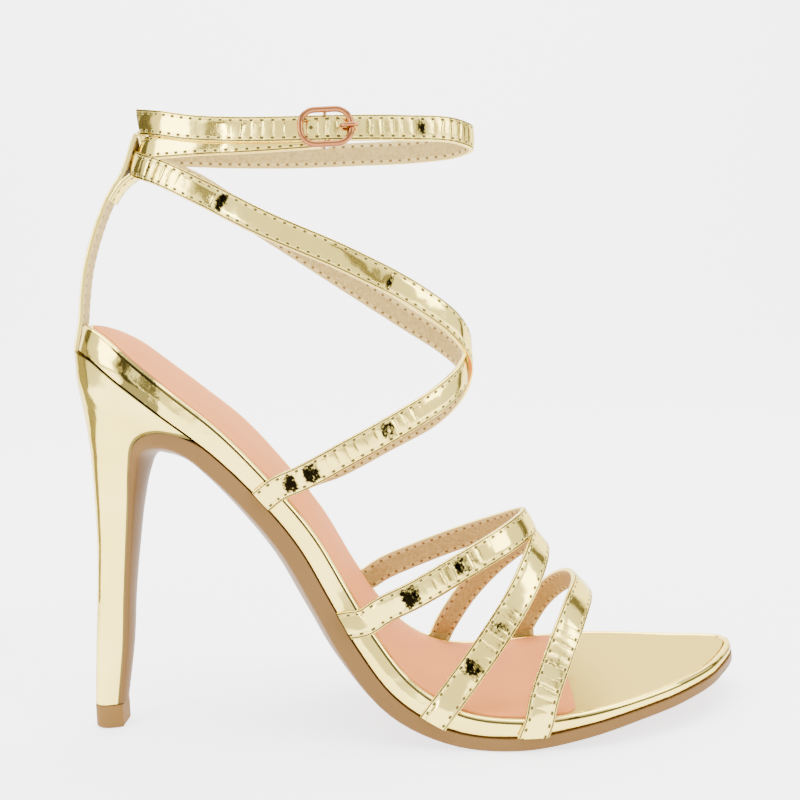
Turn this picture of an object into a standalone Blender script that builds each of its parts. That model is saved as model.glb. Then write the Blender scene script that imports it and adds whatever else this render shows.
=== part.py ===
"""Strappy stiletto sandal for the right foot, built piece by piece.

X runs to the toe, Y to the inner side of the foot and Z up, in metres.
The origin is the middle of the heel tip, on the floor.
"""
import math

import bmesh
import bpy
import numpy as np
from mathutils import Vector

# Overall sizes
SHOE_RUN = 0.1952            # back rim to toe tip, along the floor
SEAT_HEIGHT = 0.1219         # floor to the back rim
BACK_REACH = 0.0015          # how far the back rim stands behind the heel tip's middle
BALL_HALF_WIDTH = 0.0365     # half the footbed's width at the ball
CLEARANCE = 0.0003           # gap left between neighbouring pieces

# Footbed
BOARD_THICK = 0.0065         # wall of the wrapped board at the shank
RIM_ROUND = 0.0012           # rounding of the board's upper edge
RIM_WIDTH = 0.0026           # raised rim around the sock
RECESS_DEPTH = 0.0008        # how far the sock's bed lies below the rim
SOCK_THICK = 0.0007          # lining sheet of the footbed
SOCK_GAP = 0.00045           # glue line between the sock and its bed
HEEL_ROUND_SHARE = 0.12      # share of the length over which the seat rounds off
TOE_ROUND_SHARE = 0.030      # share of the length over which the tip rounds off
SOCK_OUTER_SHARE = 0.770     # share of the length where the sock ends, outer side
SOCK_INNER_SHARE = 0.792     # and inner side
SOCK_CORNER = 0.0045         # rounding of the sock's front corners

# Outsole
TREAD_THICK = 0.0033         # edge of the outsole at the ball
TREAD_MARGIN = 0.0004        # how far the outsole stands proud of the board
CROWN_HEIGHT = 0.0048        # bulge of the waist below its edge
FLAP_THICK = 0.0017          # sheet on the heel breast, at the tip
FLAP_SINK_SHARE = 0.7        # how much of it lies within the tip's length
FLAP_EDGE_SHARE = 0.45       # edge of the sheet as a share of its middle
FLAP_TIP_SHARE = 0.80        # half width of the sheet at the tip, as a share of the tip's
BEND_SHARE = 0.022           # from the lip to where the sheet lies flat on the board
SOLE_END_SHARE = 0.9988      # where the sheet ends at the toe

# Heel
LIP_SHARE = 0.205            # where the heel's forward lip ends, as a share of the length
HEEL_LEDGE = 0.0020          # how far the heel stands out behind the board, under the strap
LEDGE_SHARE = 0.35           # share of the seat over which that fades out
TIP_LENGTH = 0.0091          # heel tip, front to back
TIP_HALF_WIDTH = 0.0046      # half its width
TOP_PIECE_HEIGHT = 0.0070    # tread block under the heel
TOP_PIECE_ROUND = 0.0008     # rounding of its lower edge
TIP_MARGIN = 0.0001          # how far the tread block stands proud of the heel
TIP_FRONT_SHARE = 0.84       # width of the tip's flat front, as a share of its width
ROUND_SHARE = 0.55           # share of a heel section's depth that is rounded

# Straps
STRAP_THICK = 0.0015         # folded strap with its lining
VAMP_WIDTH = 0.0078          # width of the three front straps
ANKLE_WIDTH = 0.0072         # width of the crossing and ankle straps
RISER_WIDTH = 0.0068         # width of the strap that climbs from the heel
SLANT_REACH = 0.014          # length over which a slanted strap end straightens
FREE_END_SLANT = 0.5         # lean of the ankle strap's cut end

# Buckle
BUCKLE_LENGTH = 0.0158       # outside, along the strap
BUCKLE_HEIGHT = 0.0112       # outside, across the strap
BUCKLE_WIRE = 0.00085        # radius of the frame
BUCKLE_CORNER = 0.0042       # corner radius of the frame's middle line
BAR_WIRE = 0.00060           # radius of centre bar and prong
FRAME_STAND = 0.0003         # extra room between frame and strap
HOLE_RADIUS = 0.0011         # punched hole for the prong
HOLE_REACH = 0.0040          # from the centre bar to the prong's hole
SPARE_HOLE_REACH = -0.0035   # and to the next free hole
PRONG_SLANT = 0.0007         # how far the prong leans as it comes through

# The sole's side view, plan and thickness, from the back rim to the tip.
# run is a share of SHOE_RUN, rise of SEAT_HEIGHT, middle and half of BALL_HALF_WIDTH,
# board of BOARD_THICK, tread of TREAD_THICK and crown of CROWN_HEIGHT.
SOLE_COLUMNS = ("share", "run", "rise", "middle", "half", "board", "tread", "crown")
SOLE_ROWS = (
    (0.00, 0.0060, 1.0000, 0.003, 0.614, 1.13, 1.25, 0.75),
    (0.02, 0.0240, 0.9930, 0.003, 0.622, 1.13, 1.25, 0.75),
    (0.05, 0.0550, 0.9660, 0.003, 0.633, 1.12, 1.25, 0.75),
    (0.10, 0.1020, 0.9020, 0.005, 0.652, 1.08, 1.25, 0.75),
    (0.16, 0.1600, 0.8220, 0.008, 0.690, 1.03, 1.30, 0.75),
    (0.22, 0.2170, 0.7420, 0.016, 0.688, 0.97, 1.35, 0.80),
    (0.30, 0.2840, 0.6190, 0.025, 0.636, 0.86, 1.35, 0.95),
    (0.38, 0.3450, 0.4880, 0.025, 0.589, 0.87, 1.40, 1.00),
    (0.46, 0.3930, 0.3450, 0.022, 0.600, 0.90, 1.40, 1.00),
    (0.52, 0.4310, 0.2390, 0.016, 0.680, 0.94, 1.40, 0.98),
    (0.58, 0.4790, 0.1440, 0.014, 0.792, 0.95, 1.35, 0.80),
    (0.64, 0.5440, 0.0850, 0.011, 0.907, 0.83, 1.10, 0.45),
    (0.70, 0.6200, 0.0700, 0.011, 0.989, 0.71, 1.05, 0.10),
    (0.77, 0.7085, 0.0775, 0.016, 0.995, 0.52, 1.00, 0.00),
    (0.84, 0.7970, 0.0910, 0.025, 0.866, 0.44, 0.88, 0.00),
    (0.90, 0.8730, 0.1034, 0.011, 0.649, 0.43, 0.85, 0.00),
    (0.95, 0.9365, 0.1100, 0.074, 0.422, 0.42, 0.80, 0.00),
    (0.98, 0.9740, 0.1125, 0.175, 0.262, 0.41, 0.78, 0.00),
    (1.00, 1.0000, 0.1150, 0.245, 0.190, 0.40, 0.75, 0.00),
)

# The heel's sections from tip to seat, each from its back point to its breast.
# x is a share of the lip's reach, z of SEAT_HEIGHT and half of the seat's half width.
# Columns: back x, back z, front x, front z, half width, share of it at the front.
HEEL_ROWS = (
    (-0.095, 0.205, 0.178, 0.205, 0.208, 0.84),
    (-0.057, 0.330, 0.219, 0.328, 0.232, 0.84),
    (-0.028, 0.450, 0.268, 0.448, 0.272, 0.86),
    (-0.022, 0.565, 0.320, 0.560, 0.330, 0.88),
    (-0.025, 0.670, 0.362, 0.645, 0.410, 0.90),
    (-0.034, 0.742, 0.425, 0.703, 0.545, 0.92),
    (-0.058, 0.812, 0.545, 0.729, 0.705, 0.95),
    (-0.085, 0.872, 0.720, 0.738, 0.855, 0.98),
)

# The sheet down the heel breast, from tip to waist, in shares of the same sizes.
# Columns: inner x, inner z, outer x, outer z, half width.
FLAP_ROWS = (
    (0.186, 0.205, 0.236, 0.205, 0.175),
    (0.227, 0.328, 0.277, 0.328, 0.195),
    (0.276, 0.448, 0.335, 0.448, 0.234),
    (0.328, 0.560, 0.398, 0.557, 0.290),
    (0.371, 0.642, 0.465, 0.632, 0.370),
    (0.434, 0.699, 0.518, 0.668, 0.500),
    (0.552, 0.724, 0.590, 0.680, 0.670),
    (0.722, 0.732, 0.695, 0.676, 0.830),
)

# The foot form the straps lie on: ribs from a root on the sole or the back of the
# leg to the crest line. x is a share of SHOE_RUN, z of SEAT_HEIGHT, half of
# BALL_HALF_WIDTH; closure 0 is an open arch and 1 a closed ring.
FORM_COLUMNS = ("rib", "root_x", "root_z", "crest_x", "crest_z", "half", "closure")
FORM_ROWS = (
    (0.0, 0.738, 0.084, 0.776, 0.254, 0.985, 0.00),
    (1.0, 0.637, 0.073, 0.743, 0.312, 1.025, 0.04),
    (2.0, 0.512, 0.102, 0.692, 0.410, 0.890, 0.08),
    (3.0, 0.422, 0.242, 0.663, 0.482, 0.726, 0.15),
    (4.0, 0.362, 0.418, 0.628, 0.648, 0.685, 0.22),
    (5.0, 0.293, 0.587, 0.591, 0.788, 0.712, 0.28),
    (6.0, 0.210, 0.742, 0.588, 0.902, 0.740, 0.35),
    (7.0, 0.095, 0.902, 0.592, 1.017, 0.726, 0.55),
    (8.0, 0.010, 1.050, 0.597, 1.148, 0.685, 0.85),
    (9.0, 0.048, 1.235, 0.601, 1.288, 0.616, 1.00),
    (10.0, 0.084, 1.395, 0.604, 1.415, 0.562, 1.00),
    (11.0, 0.096, 1.520, 0.606, 1.510, 0.548, 1.00),
)

# Strap paths on the form. turn is -1 at the outer root, 0 on the crest and 1 at the
# inner root, and runs on past the back of the leg; lift counts strap thicknesses.
PATH_COLUMNS = ("rib", "turn", "lift")
REAR_VAMP_ROWS = (
    (3.25, -0.93, 0.0),
    (3.20, -0.80, 0.0),
    (3.14, -0.60, 0.0),
    (3.01, -0.32, 0.1),
    (2.86, 0.00, 0.3),
    (2.88, 0.32, 0.1),
    (3.03, 0.56, 0.0),
    (3.17, 0.77, 0.0),
    (3.26, 0.93, 0.0),
)
MIDDLE_VAMP_ROWS = (
    (2.00, -0.94, 0.0),
    (2.05, -0.73, 0.0),
    (2.11, -0.50, 0.0),
    (2.21, -0.28, 0.0),
    (2.24, 0.00, -0.1),
    (2.16, 0.30, 0.0),
    (2.13, 0.55, 0.0),
    (2.05, 0.78, 0.0),
    (1.95, 0.93, 0.0),
)
TOE_STRAP_ROWS = (
    (1.05, -0.90, 0.0),
    (1.18, -0.65, 0.0),
    (1.18, -0.40, 0.0),
    (1.00, -0.12, 0.0),
    (0.90, 0.14, 0.0),
    (0.88, 0.44, 0.0),
    (0.82, 0.74, 0.0),
    (0.74, 0.92, 0.0),
)
# From the inner rim over the ankle's front, through the loop at the back and once
# round the ankle to the free end.
INNER_CROSS_ROWS = (
    (4.80, 0.86, 0.0),
    (4.82, 0.64, 0.0),
    (4.90, 0.40, 0.0),
    (5.18, 0.20, 0.0),
    (5.85, -0.01, 0.0),
    (6.58, -0.212, 0.0),
    (7.20, -0.32, 0.0),
    (7.95, -0.413, 0.0),
    (8.67, -0.542, 0.0),
    (9.24, -0.66, 0.0),
    (9.62, -0.775, 0.0),
    (9.82, -0.88, 0.0),
    (9.98, -1.00, 0.0),
    (10.12, -1.09, 0.0),
    (10.18, -1.18, 0.0),
    (10.17, -1.32, 0.0),
    (10.12, -1.46, 0.0),
    (10.07, -1.60, 0.0),
    (9.99, -1.74, 0.0),
    (9.95, -1.88, 0.0),
    (9.96, -2.00, 0.0),
    (10.01, -2.15, 0.0),
    (10.03, -2.31, 0.0),
    (10.06, -2.44, 0.0),
    (10.09, -2.53, 0.0),
    (10.16, -2.62, 0.0),
    (10.30, -2.72, 0.0),
    (10.46, -2.80, 0.0),
    (10.64, -2.93, 0.0),
)
# From the outer rim over the ankle's front, through the loop and on to the buckle.
OUTER_CROSS_ROWS = (
    (5.06, -0.91, 0.0),
    (5.11, -0.73, 0.0),
    (5.17, -0.55, 0.0),
    (5.27, -0.35, -0.2),
    (5.46, -0.14, -0.8),
    (5.75, 0.09, -0.8),
    (6.20, 0.234, -0.1),
    (6.95, 0.361, 0.0),
    (7.85, 0.433, 0.0),
    (8.67, 0.529, 0.0),
    (9.31, 0.642, 0.0),
    (9.70, 0.740, -0.2),
    (9.93, 0.86, -0.50),
    (10.03, 1.00, -0.60),
    (10.10, 1.12, -0.95),
    (10.06, 1.25, -1.2),
    (9.98, 1.40, -1.2),
    (9.97, 1.539, -1.2),
)
BUCKLE_PLACE = (10.05, -0.452)     # rib and turn of the buckle's middle

# Where each strap crosses the rim and where it tucks in, as shares of the length.
REAR_VAMP_FEET = (0.488, 0.496, 0.494, 0.490)
MIDDLE_VAMP_FEET = (0.617, 0.621, 0.632, 0.629)
TOE_STRAP_FEET = (0.716, 0.723, 0.750, 0.744)
OUTER_CROSS_FOOT = (0.313, 0.314)
INNER_CROSS_FOOT = (0.334, 0.335)

# The strap up the back and its folded loop, seen from the side: its outer face in
# shares of SHOE_RUN and SEAT_HEIGHT, up the back and down again inside the straps.
RISER_COLUMNS = ("x", "z")
RISER_ROWS = (
    (-0.0061, 1.059),
    (0.0015, 1.130),
    (0.0149, 1.202),
    (0.0328, 1.272),
    (0.0478, 1.317),
    (0.0655, 1.358),
    (0.0770, 1.399),
    (0.0850, 1.434),
    (0.0920, 1.454),
    (0.0980, 1.458),
    (0.1040, 1.444),
    (0.1060, 1.415),
    (0.1030, 1.378),
    (0.0891, 1.352),
    (0.0717, 1.331),
    (0.0594, 1.309),
    (0.0523, 1.290),
)

# Mesh fineness
SOLE_STATIONS = 34
HEEL_STATIONS = 12
PATH_STEP = 0.0042
RISER_STEP = 0.0030


def column(rows, names, name):
    index = names.index(name)
    return [row[index] for row in rows]


def smooth(keys, values, where):
    """Curve through a table's values that keeps its slope from row to row."""
    keys = np.asarray(keys, float)
    values = np.asarray(values, float)
    where = np.clip(np.asarray(where, float), keys[0], keys[-1])
    steps = np.diff(keys)
    slopes = np.diff(values) / steps
    tangents = np.empty_like(values)
    tangents[0] = slopes[0]
    tangents[-1] = slopes[-1]
    for i in range(1, len(keys) - 1):
        tangents[i] = (slopes[i - 1] * steps[i] + slopes[i] * steps[i - 1]) / (steps[i] + steps[i - 1])
    spot = np.clip(np.searchsorted(keys, where, side="right") - 1, 0, len(keys) - 2)
    width = steps[spot]
    u = (where - keys[spot]) / width
    return (values[spot] * (1 + 2 * u) * (1 - u) ** 2
            + values[spot + 1] * u * u * (3 - 2 * u)
            + width * tangents[spot] * u * (1 - u) ** 2
            - width * tangents[spot + 1] * u * u * (1 - u))


def sole_value(name, share):
    return smooth(column(SOLE_ROWS, SOLE_COLUMNS, "share"), column(SOLE_ROWS, SOLE_COLUMNS, name), share)


def sole_line(share, depth=0.0):
    """Side view of the footbed at a share of its length, moved down its own normal."""
    before = np.clip(share - 0.004, 0, 1)
    after = np.clip(share + 0.004, 0, 1)
    dx = (sole_value("run", after) - sole_value("run", before)) * SHOE_RUN
    dz = (sole_value("rise", after) - sole_value("rise", before)) * SEAT_HEIGHT
    size = np.hypot(dx, dz)
    x = sole_value("run", share) * SHOE_RUN - BACK_REACH
    z = sole_value("rise", share) * SEAT_HEIGHT
    return x + dz / size * depth, z - dx / size * depth


def sole_middle(share):
    return sole_value("middle", share) * BALL_HALF_WIDTH


def sole_half(share):
    heel = 1 - np.clip(share / HEEL_ROUND_SHARE, 0, 1)
    toe = 1 - np.clip((1 - share) / TOE_ROUND_SHARE, 0, 1)
    rounding = np.sqrt((1 - heel ** 2) * (1 - toe ** 2))
    return sole_value("half", share) * BALL_HALF_WIDTH * rounding


def board_thick(share):
    return sole_value("board", share) * BOARD_THICK


def rim_point(share, side, grow=0.0, depth=0.0):
    """Point on the footbed's side wall: side -1 is the outer side, 1 the inner."""
    x, z = sole_line(share, depth)
    y = sole_middle(share) + side * (sole_half(share) + grow)
    return np.array([float(x), float(y), float(z)])


def plan_length():
    share = np.linspace(0, 1, 801)
    x, z = sole_line(share)
    return share, np.concatenate([[0], np.cumsum(np.hypot(np.diff(x), np.diff(z)))])


def spread(count):
    """Stations from 0 to 1, closer together at both ends."""
    t = np.linspace(0, 1, count + 1)
    return 0.45 * t + 0.55 * (1 - np.cos(math.pi * t)) / 2


def inset_outline(inset, count, end_outer=1.0, end_inner=1.0):
    """Plan outline moved inwards: rows of share, outer y and inner y, ends included."""
    share, length = plan_length()
    dense = np.concatenate([np.linspace(0, 0.02, 160), np.linspace(0.0201, 0.965, 500),
                            np.linspace(0.9651, 1, 200)])
    along = np.interp(dense, share, length)
    result = []
    for side, end in ((-1, end_outer), (1, end_inner)):
        y = sole_middle(dense) + side * sole_half(dense)
        slope_a = np.gradient(along)
        slope_y = np.gradient(y)
        size = np.hypot(slope_a, slope_y)
        moved_a = along + side * slope_y / size * inset
        moved_y = y - side * slope_a / size * inset
        keep = np.concatenate([[True], np.diff(np.maximum.accumulate(moved_a)) > 1e-7])
        first = inset
        last = length[-1] - inset
        if end < 1.0:
            last = float(np.interp(end, share, length))
        stations = first + (last - first) * spread(count)
        edge = np.interp(stations, moved_a[keep], moved_y[keep])
        if end < 1.0:
            short = np.clip(SOCK_CORNER - (last - stations), 0, SOCK_CORNER)
            edge -= side * (SOCK_CORNER - np.sqrt(SOCK_CORNER ** 2 - short ** 2))
        shares = np.interp(stations, length, share)
        result.append((shares, edge))
    return result


def new_object(name, verts, faces, collection):
    mesh = bpy.data.meshes.new(name)
    mesh.from_pydata([tuple(v) for v in verts], [], faces)
    body = bmesh.new()
    body.from_mesh(mesh)
    bmesh.ops.remove_doubles(body, verts=body.verts, dist=0.000005)
    bmesh.ops.triangulate(body, faces=body.faces)
    bmesh.ops.recalc_face_normals(body, faces=body.faces)
    body.to_mesh(mesh)
    body.free()
    obj = bpy.data.objects.new(name, mesh)
    collection.objects.link(obj)
    return obj


def lofted(rings, pairs=True):
    """Skin rings of equal count; the two ends are closed across their paired points."""
    verts = [p for ring in rings for p in ring]
    n = len(rings[0])
    faces = []
    for r in range(len(rings) - 1):
        for i in range(n):
            j = (i + 1) % n
            faces.append((r * n + i, r * n + j, (r + 1) * n + j, (r + 1) * n + i))
    for r in (0, len(rings) - 1):
        base = r * n
        if not pairs:
            faces.append(tuple(base + i for i in range(n)))
            continue
        for i in range(n // 2):
            a = base + i
            b = base + i + 1
            c = base + (n - i - 1)
            d = base + (n - i) % n
            corners = []
            for v in (a, b, c, d):
                if v not in corners:
                    corners.append(v)
            if len(corners) > 2:
                faces.append(tuple(corners))
    return verts, faces


def plan_ring(inset, depth, count, end_outer=1.0, end_inner=1.0):
    """Closed ring around the footbed at one inset and one depth below its surface."""
    (outer_s, outer_y), (inner_s, inner_y) = inset_outline(inset, count, end_outer, end_inner)
    open_end = end_outer < 1.0
    ring = []
    for i in range(count + 1):
        x, z = sole_line(outer_s[i], depth(outer_s[i]))
        y = outer_y[i]
        if i == 0 or (i == count and not open_end):
            y = (outer_y[i] + inner_y[i]) / 2
        ring.append((float(x), float(y), float(z)))
    if open_end:
        x, z = sole_line(inner_s[count], depth(inner_s[count]))
        ring.append((float(x), float(inner_y[count]), float(z)))
    for i in range(count - 1, 0, -1):
        x, z = sole_line(inner_s[i], depth(inner_s[i]))
        ring.append((float(x), float(inner_y[i]), float(z)))
    return ring


def build_board(collection):
    half_round = RIM_ROUND * 0.3
    wall = (
        (0.0, lambda s: board_thick(s)),
        (0.0, lambda s: 0 * s + RIM_ROUND),
        (half_round, lambda s: 0 * s + half_round),
        (RIM_ROUND, lambda s: 0 * s),
        (RIM_WIDTH - RECESS_DEPTH * 0.5, lambda s: 0 * s),
        (RIM_WIDTH, lambda s: 0 * s + RECESS_DEPTH),
    )
    rings = [plan_ring(inset, depth, SOLE_STATIONS) for inset, depth in wall]
    verts, faces = lofted(rings)
    return new_object("insole_board", verts, faces, collection)


def build_sock(collection):
    inset = RIM_WIDTH + CLEARANCE
    low = RECESS_DEPTH - SOCK_GAP
    high = low - SOCK_THICK
    soft = SOCK_THICK * 0.4
    layers = (
        (inset, low),
        (inset, high + soft),
        (inset + soft, high),
    )
    rings = [plan_ring(i, lambda s, d=d: 0 * s + d, SOLE_STATIONS, SOCK_OUTER_SHARE, SOCK_INNER_SHARE)
             for i, d in layers]
    verts, faces = lofted(rings)
    return new_object("sock", verts, faces, collection)


def seat_half():
    return float(sole_half(np.float64(LIP_SHARE)))


def lip_point():
    x, z = sole_line(LIP_SHARE, float(board_thick(LIP_SHARE)) + CLEARANCE)
    return float(x), float(z)


def heel_ring(back, front, half, front_half, middle=0.0):
    """D-shaped section: rounded back, flat breast."""
    steps = np.linspace(0, 1, HEEL_STATIONS + 1)
    along = 1 - np.cos(steps * math.pi / 2)
    outer = []
    inner = []
    for a in along:
        gone = max(0.0, (a - ROUND_SHARE) / (1 - ROUND_SHARE))
        width = half * math.sqrt(1 - (1 - min(a / ROUND_SHARE, 1)) ** 2)
        width *= 1 + (front_half - 1) * gone * gone
        x = back[0] + (front[0] - back[0]) * a
        z = back[1] + (front[1] - back[1]) * a
        outer.append((x, middle - width, z))
        inner.append((x, middle + width, z))
    return outer + inner[:0:-1]


def seat_ring():
    """Top section of the heel, flush with the underside of the board."""
    steps = np.linspace(0, 1, HEEL_STATIONS + 1)
    outer = []
    inner = []
    for a in 1 - np.cos(steps * math.pi / 2):
        share = np.float64(a * LIP_SHARE)
        x, z = sole_line(share, board_thick(share) + CLEARANCE)
        x -= HEEL_LEDGE * max(0.0, 1 - a / LEDGE_SHARE) ** 2
        y = sole_half(share)
        outer.append((float(x), float(sole_middle(share) - y), float(z)))
        inner.append((float(x), float(sole_middle(share) + y), float(z)))
    return outer + inner[:0:-1]


def build_heel(collection):
    reach = lip_point()[0]
    start = TOP_PIECE_HEIGHT + CLEARANCE
    slim = TIP_LENGTH - FLAP_THICK * FLAP_SINK_SHARE
    rings = [heel_ring((-TIP_LENGTH / 2 + TIP_MARGIN, start), (-TIP_LENGTH / 2 + slim, start),
                       TIP_HALF_WIDTH - TIP_MARGIN, TIP_FRONT_SHARE)]
    for back_x, back_z, front_x, front_z, half, front_half in HEEL_ROWS:
        rings.append(heel_ring((back_x * reach, back_z * SEAT_HEIGHT), (front_x * reach, front_z * SEAT_HEIGHT),
                               half * seat_half(), front_half))
    rings.append(seat_ring())
    verts, faces = lofted(rings)
    return new_object("heel", verts, faces, collection)


def build_top_piece(collection):
    rings = []
    layers = (
        (0.0, TOP_PIECE_ROUND),
        (TOP_PIECE_ROUND * 0.3, TOP_PIECE_ROUND * 0.3),
        (TOP_PIECE_ROUND, 0.0),
        (TOP_PIECE_HEIGHT, 0.0),
    )
    for z, inset in layers:
        rings.append(heel_ring((-TIP_LENGTH / 2 + inset, z), (TIP_LENGTH / 2 - inset, z),
                               TIP_HALF_WIDTH - inset, TIP_FRONT_SHARE))
    verts, faces = lofted(rings)
    return new_object("top_piece", verts, faces, collection)


def build_outsole(collection):
    """Tread sheet from the toe back along the waist and down the heel breast."""
    reach = lip_point()[0]
    seat = seat_half()
    across = (-1.0, -0.72, -0.4, 0.0, 0.4, 0.72, 1.0)
    rings = []
    start = TOP_PIECE_HEIGHT + CLEARANCE
    foot_inner = TIP_LENGTH / 2 - FLAP_THICK * FLAP_SINK_SHARE + CLEARANCE
    foot_outer = TIP_LENGTH / 2 + CLEARANCE * 2
    stations = [(foot_inner, start, foot_outer, start, TIP_HALF_WIDTH * FLAP_TIP_SHARE)]
    for inner_x, inner_z, outer_x, outer_z, half in FLAP_ROWS:
        stations.append((inner_x * reach + CLEARANCE, inner_z * SEAT_HEIGHT - CLEARANCE,
                         outer_x * reach, outer_z * SEAT_HEIGHT, half * seat))
    for inner_x, inner_z, outer_x, outer_z, half in stations:
        ring = [(inner_x, -half, inner_z), (inner_x, half, inner_z)]
        for a in across[::-1]:
            deep = FLAP_EDGE_SHARE + (1 - FLAP_EDGE_SHARE) * (1 - a * a)
            ring.append((inner_x + (outer_x - inner_x) * deep, half * a,
                         inner_z + (outer_z - inner_z) * deep))
        rings.append(ring)
    first = LIP_SHARE + BEND_SHARE
    last = SOLE_END_SHARE
    for t in spread(SOLE_STATIONS):
        share = np.float64(first + (last - first) * (0.35 * t + 0.65 * math.sin(t * math.pi / 2)))
        half = float(sole_half(share)) + TREAD_MARGIN
        middle = float(sole_middle(share))
        top = float(board_thick(share)) + CLEARANCE
        edge = float(sole_value("tread", share)) * TREAD_THICK
        crown = float(sole_value("crown", share)) * CROWN_HEIGHT
        x, z = sole_line(share, top)
        ring = [(float(x), middle - half, float(z)), (float(x), middle + half, float(z))]
        for a in across[::-1]:
            x, z = sole_line(share, top + edge + crown * (1 - a * a))
            ring.append((float(x), middle + half * a, max(float(z), 0.0)))
        rings.append(ring)
    verts, faces = lofted(rings, pairs=False)
    return new_object("outsole", verts, faces, collection)


def form_value(name, rib):
    return smooth(column(FORM_ROWS, FORM_COLUMNS, "rib"), column(FORM_ROWS, FORM_COLUMNS, name), rib)


def form_point(rib, turn):
    turn = (turn + 1) % 2 - 1
    widest = math.pi / 2 * (1 + float(form_value("closure", rib)))
    angle = abs(turn) * widest
    up = (math.cos(angle) - math.cos(widest)) / (1 - math.cos(widest))
    root_x = float(form_value("root_x", rib)) * SHOE_RUN
    root_z = float(form_value("root_z", rib)) * SEAT_HEIGHT
    crest_x = float(form_value("crest_x", rib)) * SHOE_RUN
    crest_z = float(form_value("crest_z", rib)) * SEAT_HEIGHT
    y = math.copysign(float(form_value("half", rib)) * BALL_HALF_WIDTH * math.sin(angle), turn)
    return np.array([root_x + (crest_x - root_x) * up, y, root_z + (crest_z - root_z) * up])


def unit(v):
    return v / np.linalg.norm(v)


def form_normal(rib, turn):
    step = 0.02
    along = form_point(min(rib + step * 3, 11), turn) - form_point(max(rib - step * 3, 0), turn)
    around = form_point(rib, turn + step) - form_point(rib, turn - step)
    return unit(np.cross(around, along))


def wall_normal(share, side):
    along = rim_point(share + 0.004, side) - rim_point(share - 0.004, side)
    down = rim_point(share, side, depth=0.004) - rim_point(share, side)
    return unit(np.cross(along, down)) * side


def foot_rows(tuck, rim, side):
    """The last two points of a strap: over the rim, then down the wall."""
    grow = CLEARANCE
    depth = float(board_thick(tuck)) - CLEARANCE
    ends = []
    for share, down in ((rim, 0.0), (tuck, depth)):
        ends.append((rim_point(share, side, grow, down), wall_normal(share, side)))
    return ends


def strap_stations(rows, first_foot=None, last_foot=None, step=PATH_STEP):
    """Points and outward normals along a strap, from its table and its feet."""
    knots = []
    for rib, turn, lift in rows:
        normal = form_normal(rib, turn)
        knots.append((form_point(rib, turn) + normal * (lift - 1) * STRAP_THICK, normal))
    if first_foot:
        knots = foot_rows(*first_foot)[::-1] + knots
    if last_foot:
        knots = knots + foot_rows(*last_foot)
    places = np.array([k[0] for k in knots])
    normals = np.array([k[1] for k in knots])
    return even_stations(places, normals, step)


def even_stations(places, normals, step):
    chord = np.concatenate([[0], np.cumsum(np.linalg.norm(np.diff(places, axis=0), axis=1))])
    fine = np.linspace(0, chord[-1], 600)
    dense = np.array([smooth(chord, places[:, k], fine) for k in range(3)]).T
    length = np.concatenate([[0], np.cumsum(np.linalg.norm(np.diff(dense, axis=0), axis=1))])
    count = max(4, round(length[-1] / step))
    where = np.interp(np.linspace(0, length[-1], count + 1), length, fine)
    points = np.array([smooth(chord, places[:, k], where) for k in range(3)]).T
    facing = np.array([smooth(chord, normals[:, k], where) for k in range(3)]).T
    return points, facing


def ribbon(points, normals, width, thick, slants=(0.0, 0.0)):
    """Flat strip with a rectangular section; its inner face runs through the points.

    A slant moves one edge of that end ahead of the other, as a share of the half width,
    and fades out over SLANT_REACH.
    """
    rings = []
    tangents = np.gradient(points, axis=0)
    length = np.concatenate([[0], np.cumsum(np.linalg.norm(np.diff(points, axis=0), axis=1))])
    for point, normal, tangent, along in zip(points, normals, tangents, length):
        tangent = unit(tangent)
        normal = unit(normal - tangent * np.dot(normal, tangent))
        near_first = max(0.0, 1 - along / SLANT_REACH)
        near_last = max(0.0, 1 - (length[-1] - along) / SLANT_REACH)
        lean = slants[0] * near_first + slants[1] * near_last
        side = (np.cross(tangent, normal) + tangent * lean) * width / 2
        rings.append([point - side, point + side, point + side + normal * thick,
                      point - side + normal * thick])
    return lofted(rings, pairs=False)


def wall_slant(points, normals, foot, end):
    """How far a strap's end leans so that it lies along the footbed's edge."""
    share, side = foot[0], foot[2]
    edge = unit(rim_point(share + 0.004, side) - rim_point(share - 0.004, side))
    tangent = unit(np.gradient(points, axis=0)[end])
    across = np.cross(tangent, unit(normals[end] - tangent * np.dot(normals[end], tangent)))
    return float(np.dot(edge, tangent) / np.dot(edge, across))


def strap(name, rows, width, collection, first_foot=None, last_foot=None, end_slant=0.0):
    points, normals = strap_stations(rows, first_foot, last_foot)
    first = wall_slant(points, normals, first_foot, 0) if first_foot else 0.0
    last = wall_slant(points, normals, last_foot, -1) if last_foot else end_slant
    verts, faces = ribbon(points, normals, width, STRAP_THICK, (first, last))
    return new_object(name, verts, faces, collection)


def join_into(target, tool):
    """Add one solid to another and drop the tool."""
    change = target.modifiers.new("join", "BOOLEAN")
    change.operation = "UNION"
    change.solver = "EXACT"
    change.object = tool
    apply_modifiers(target)
    bpy.data.objects.remove(tool)


def cut_from(target, tool):
    change = target.modifiers.new("cut", "BOOLEAN")
    change.operation = "DIFFERENCE"
    change.solver = "EXACT"
    change.object = tool
    apply_modifiers(target)
    bpy.data.objects.remove(tool)


def apply_modifiers(obj):
    graph = bpy.context.evaluated_depsgraph_get()
    graph.update()
    result = bpy.data.meshes.new_from_object(obj.evaluated_get(graph))
    obj.modifiers.clear()
    old = obj.data
    obj.data = result
    bpy.data.meshes.remove(old)
    body = bmesh.new()
    body.from_mesh(obj.data)
    bmesh.ops.remove_doubles(body, verts=body.verts, dist=0.000002)
    bmesh.ops.dissolve_degenerate(body, edges=body.edges, dist=0.000002)
    bmesh.ops.triangulate(body, faces=body.faces)
    body.to_mesh(obj.data)
    body.free()


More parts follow.
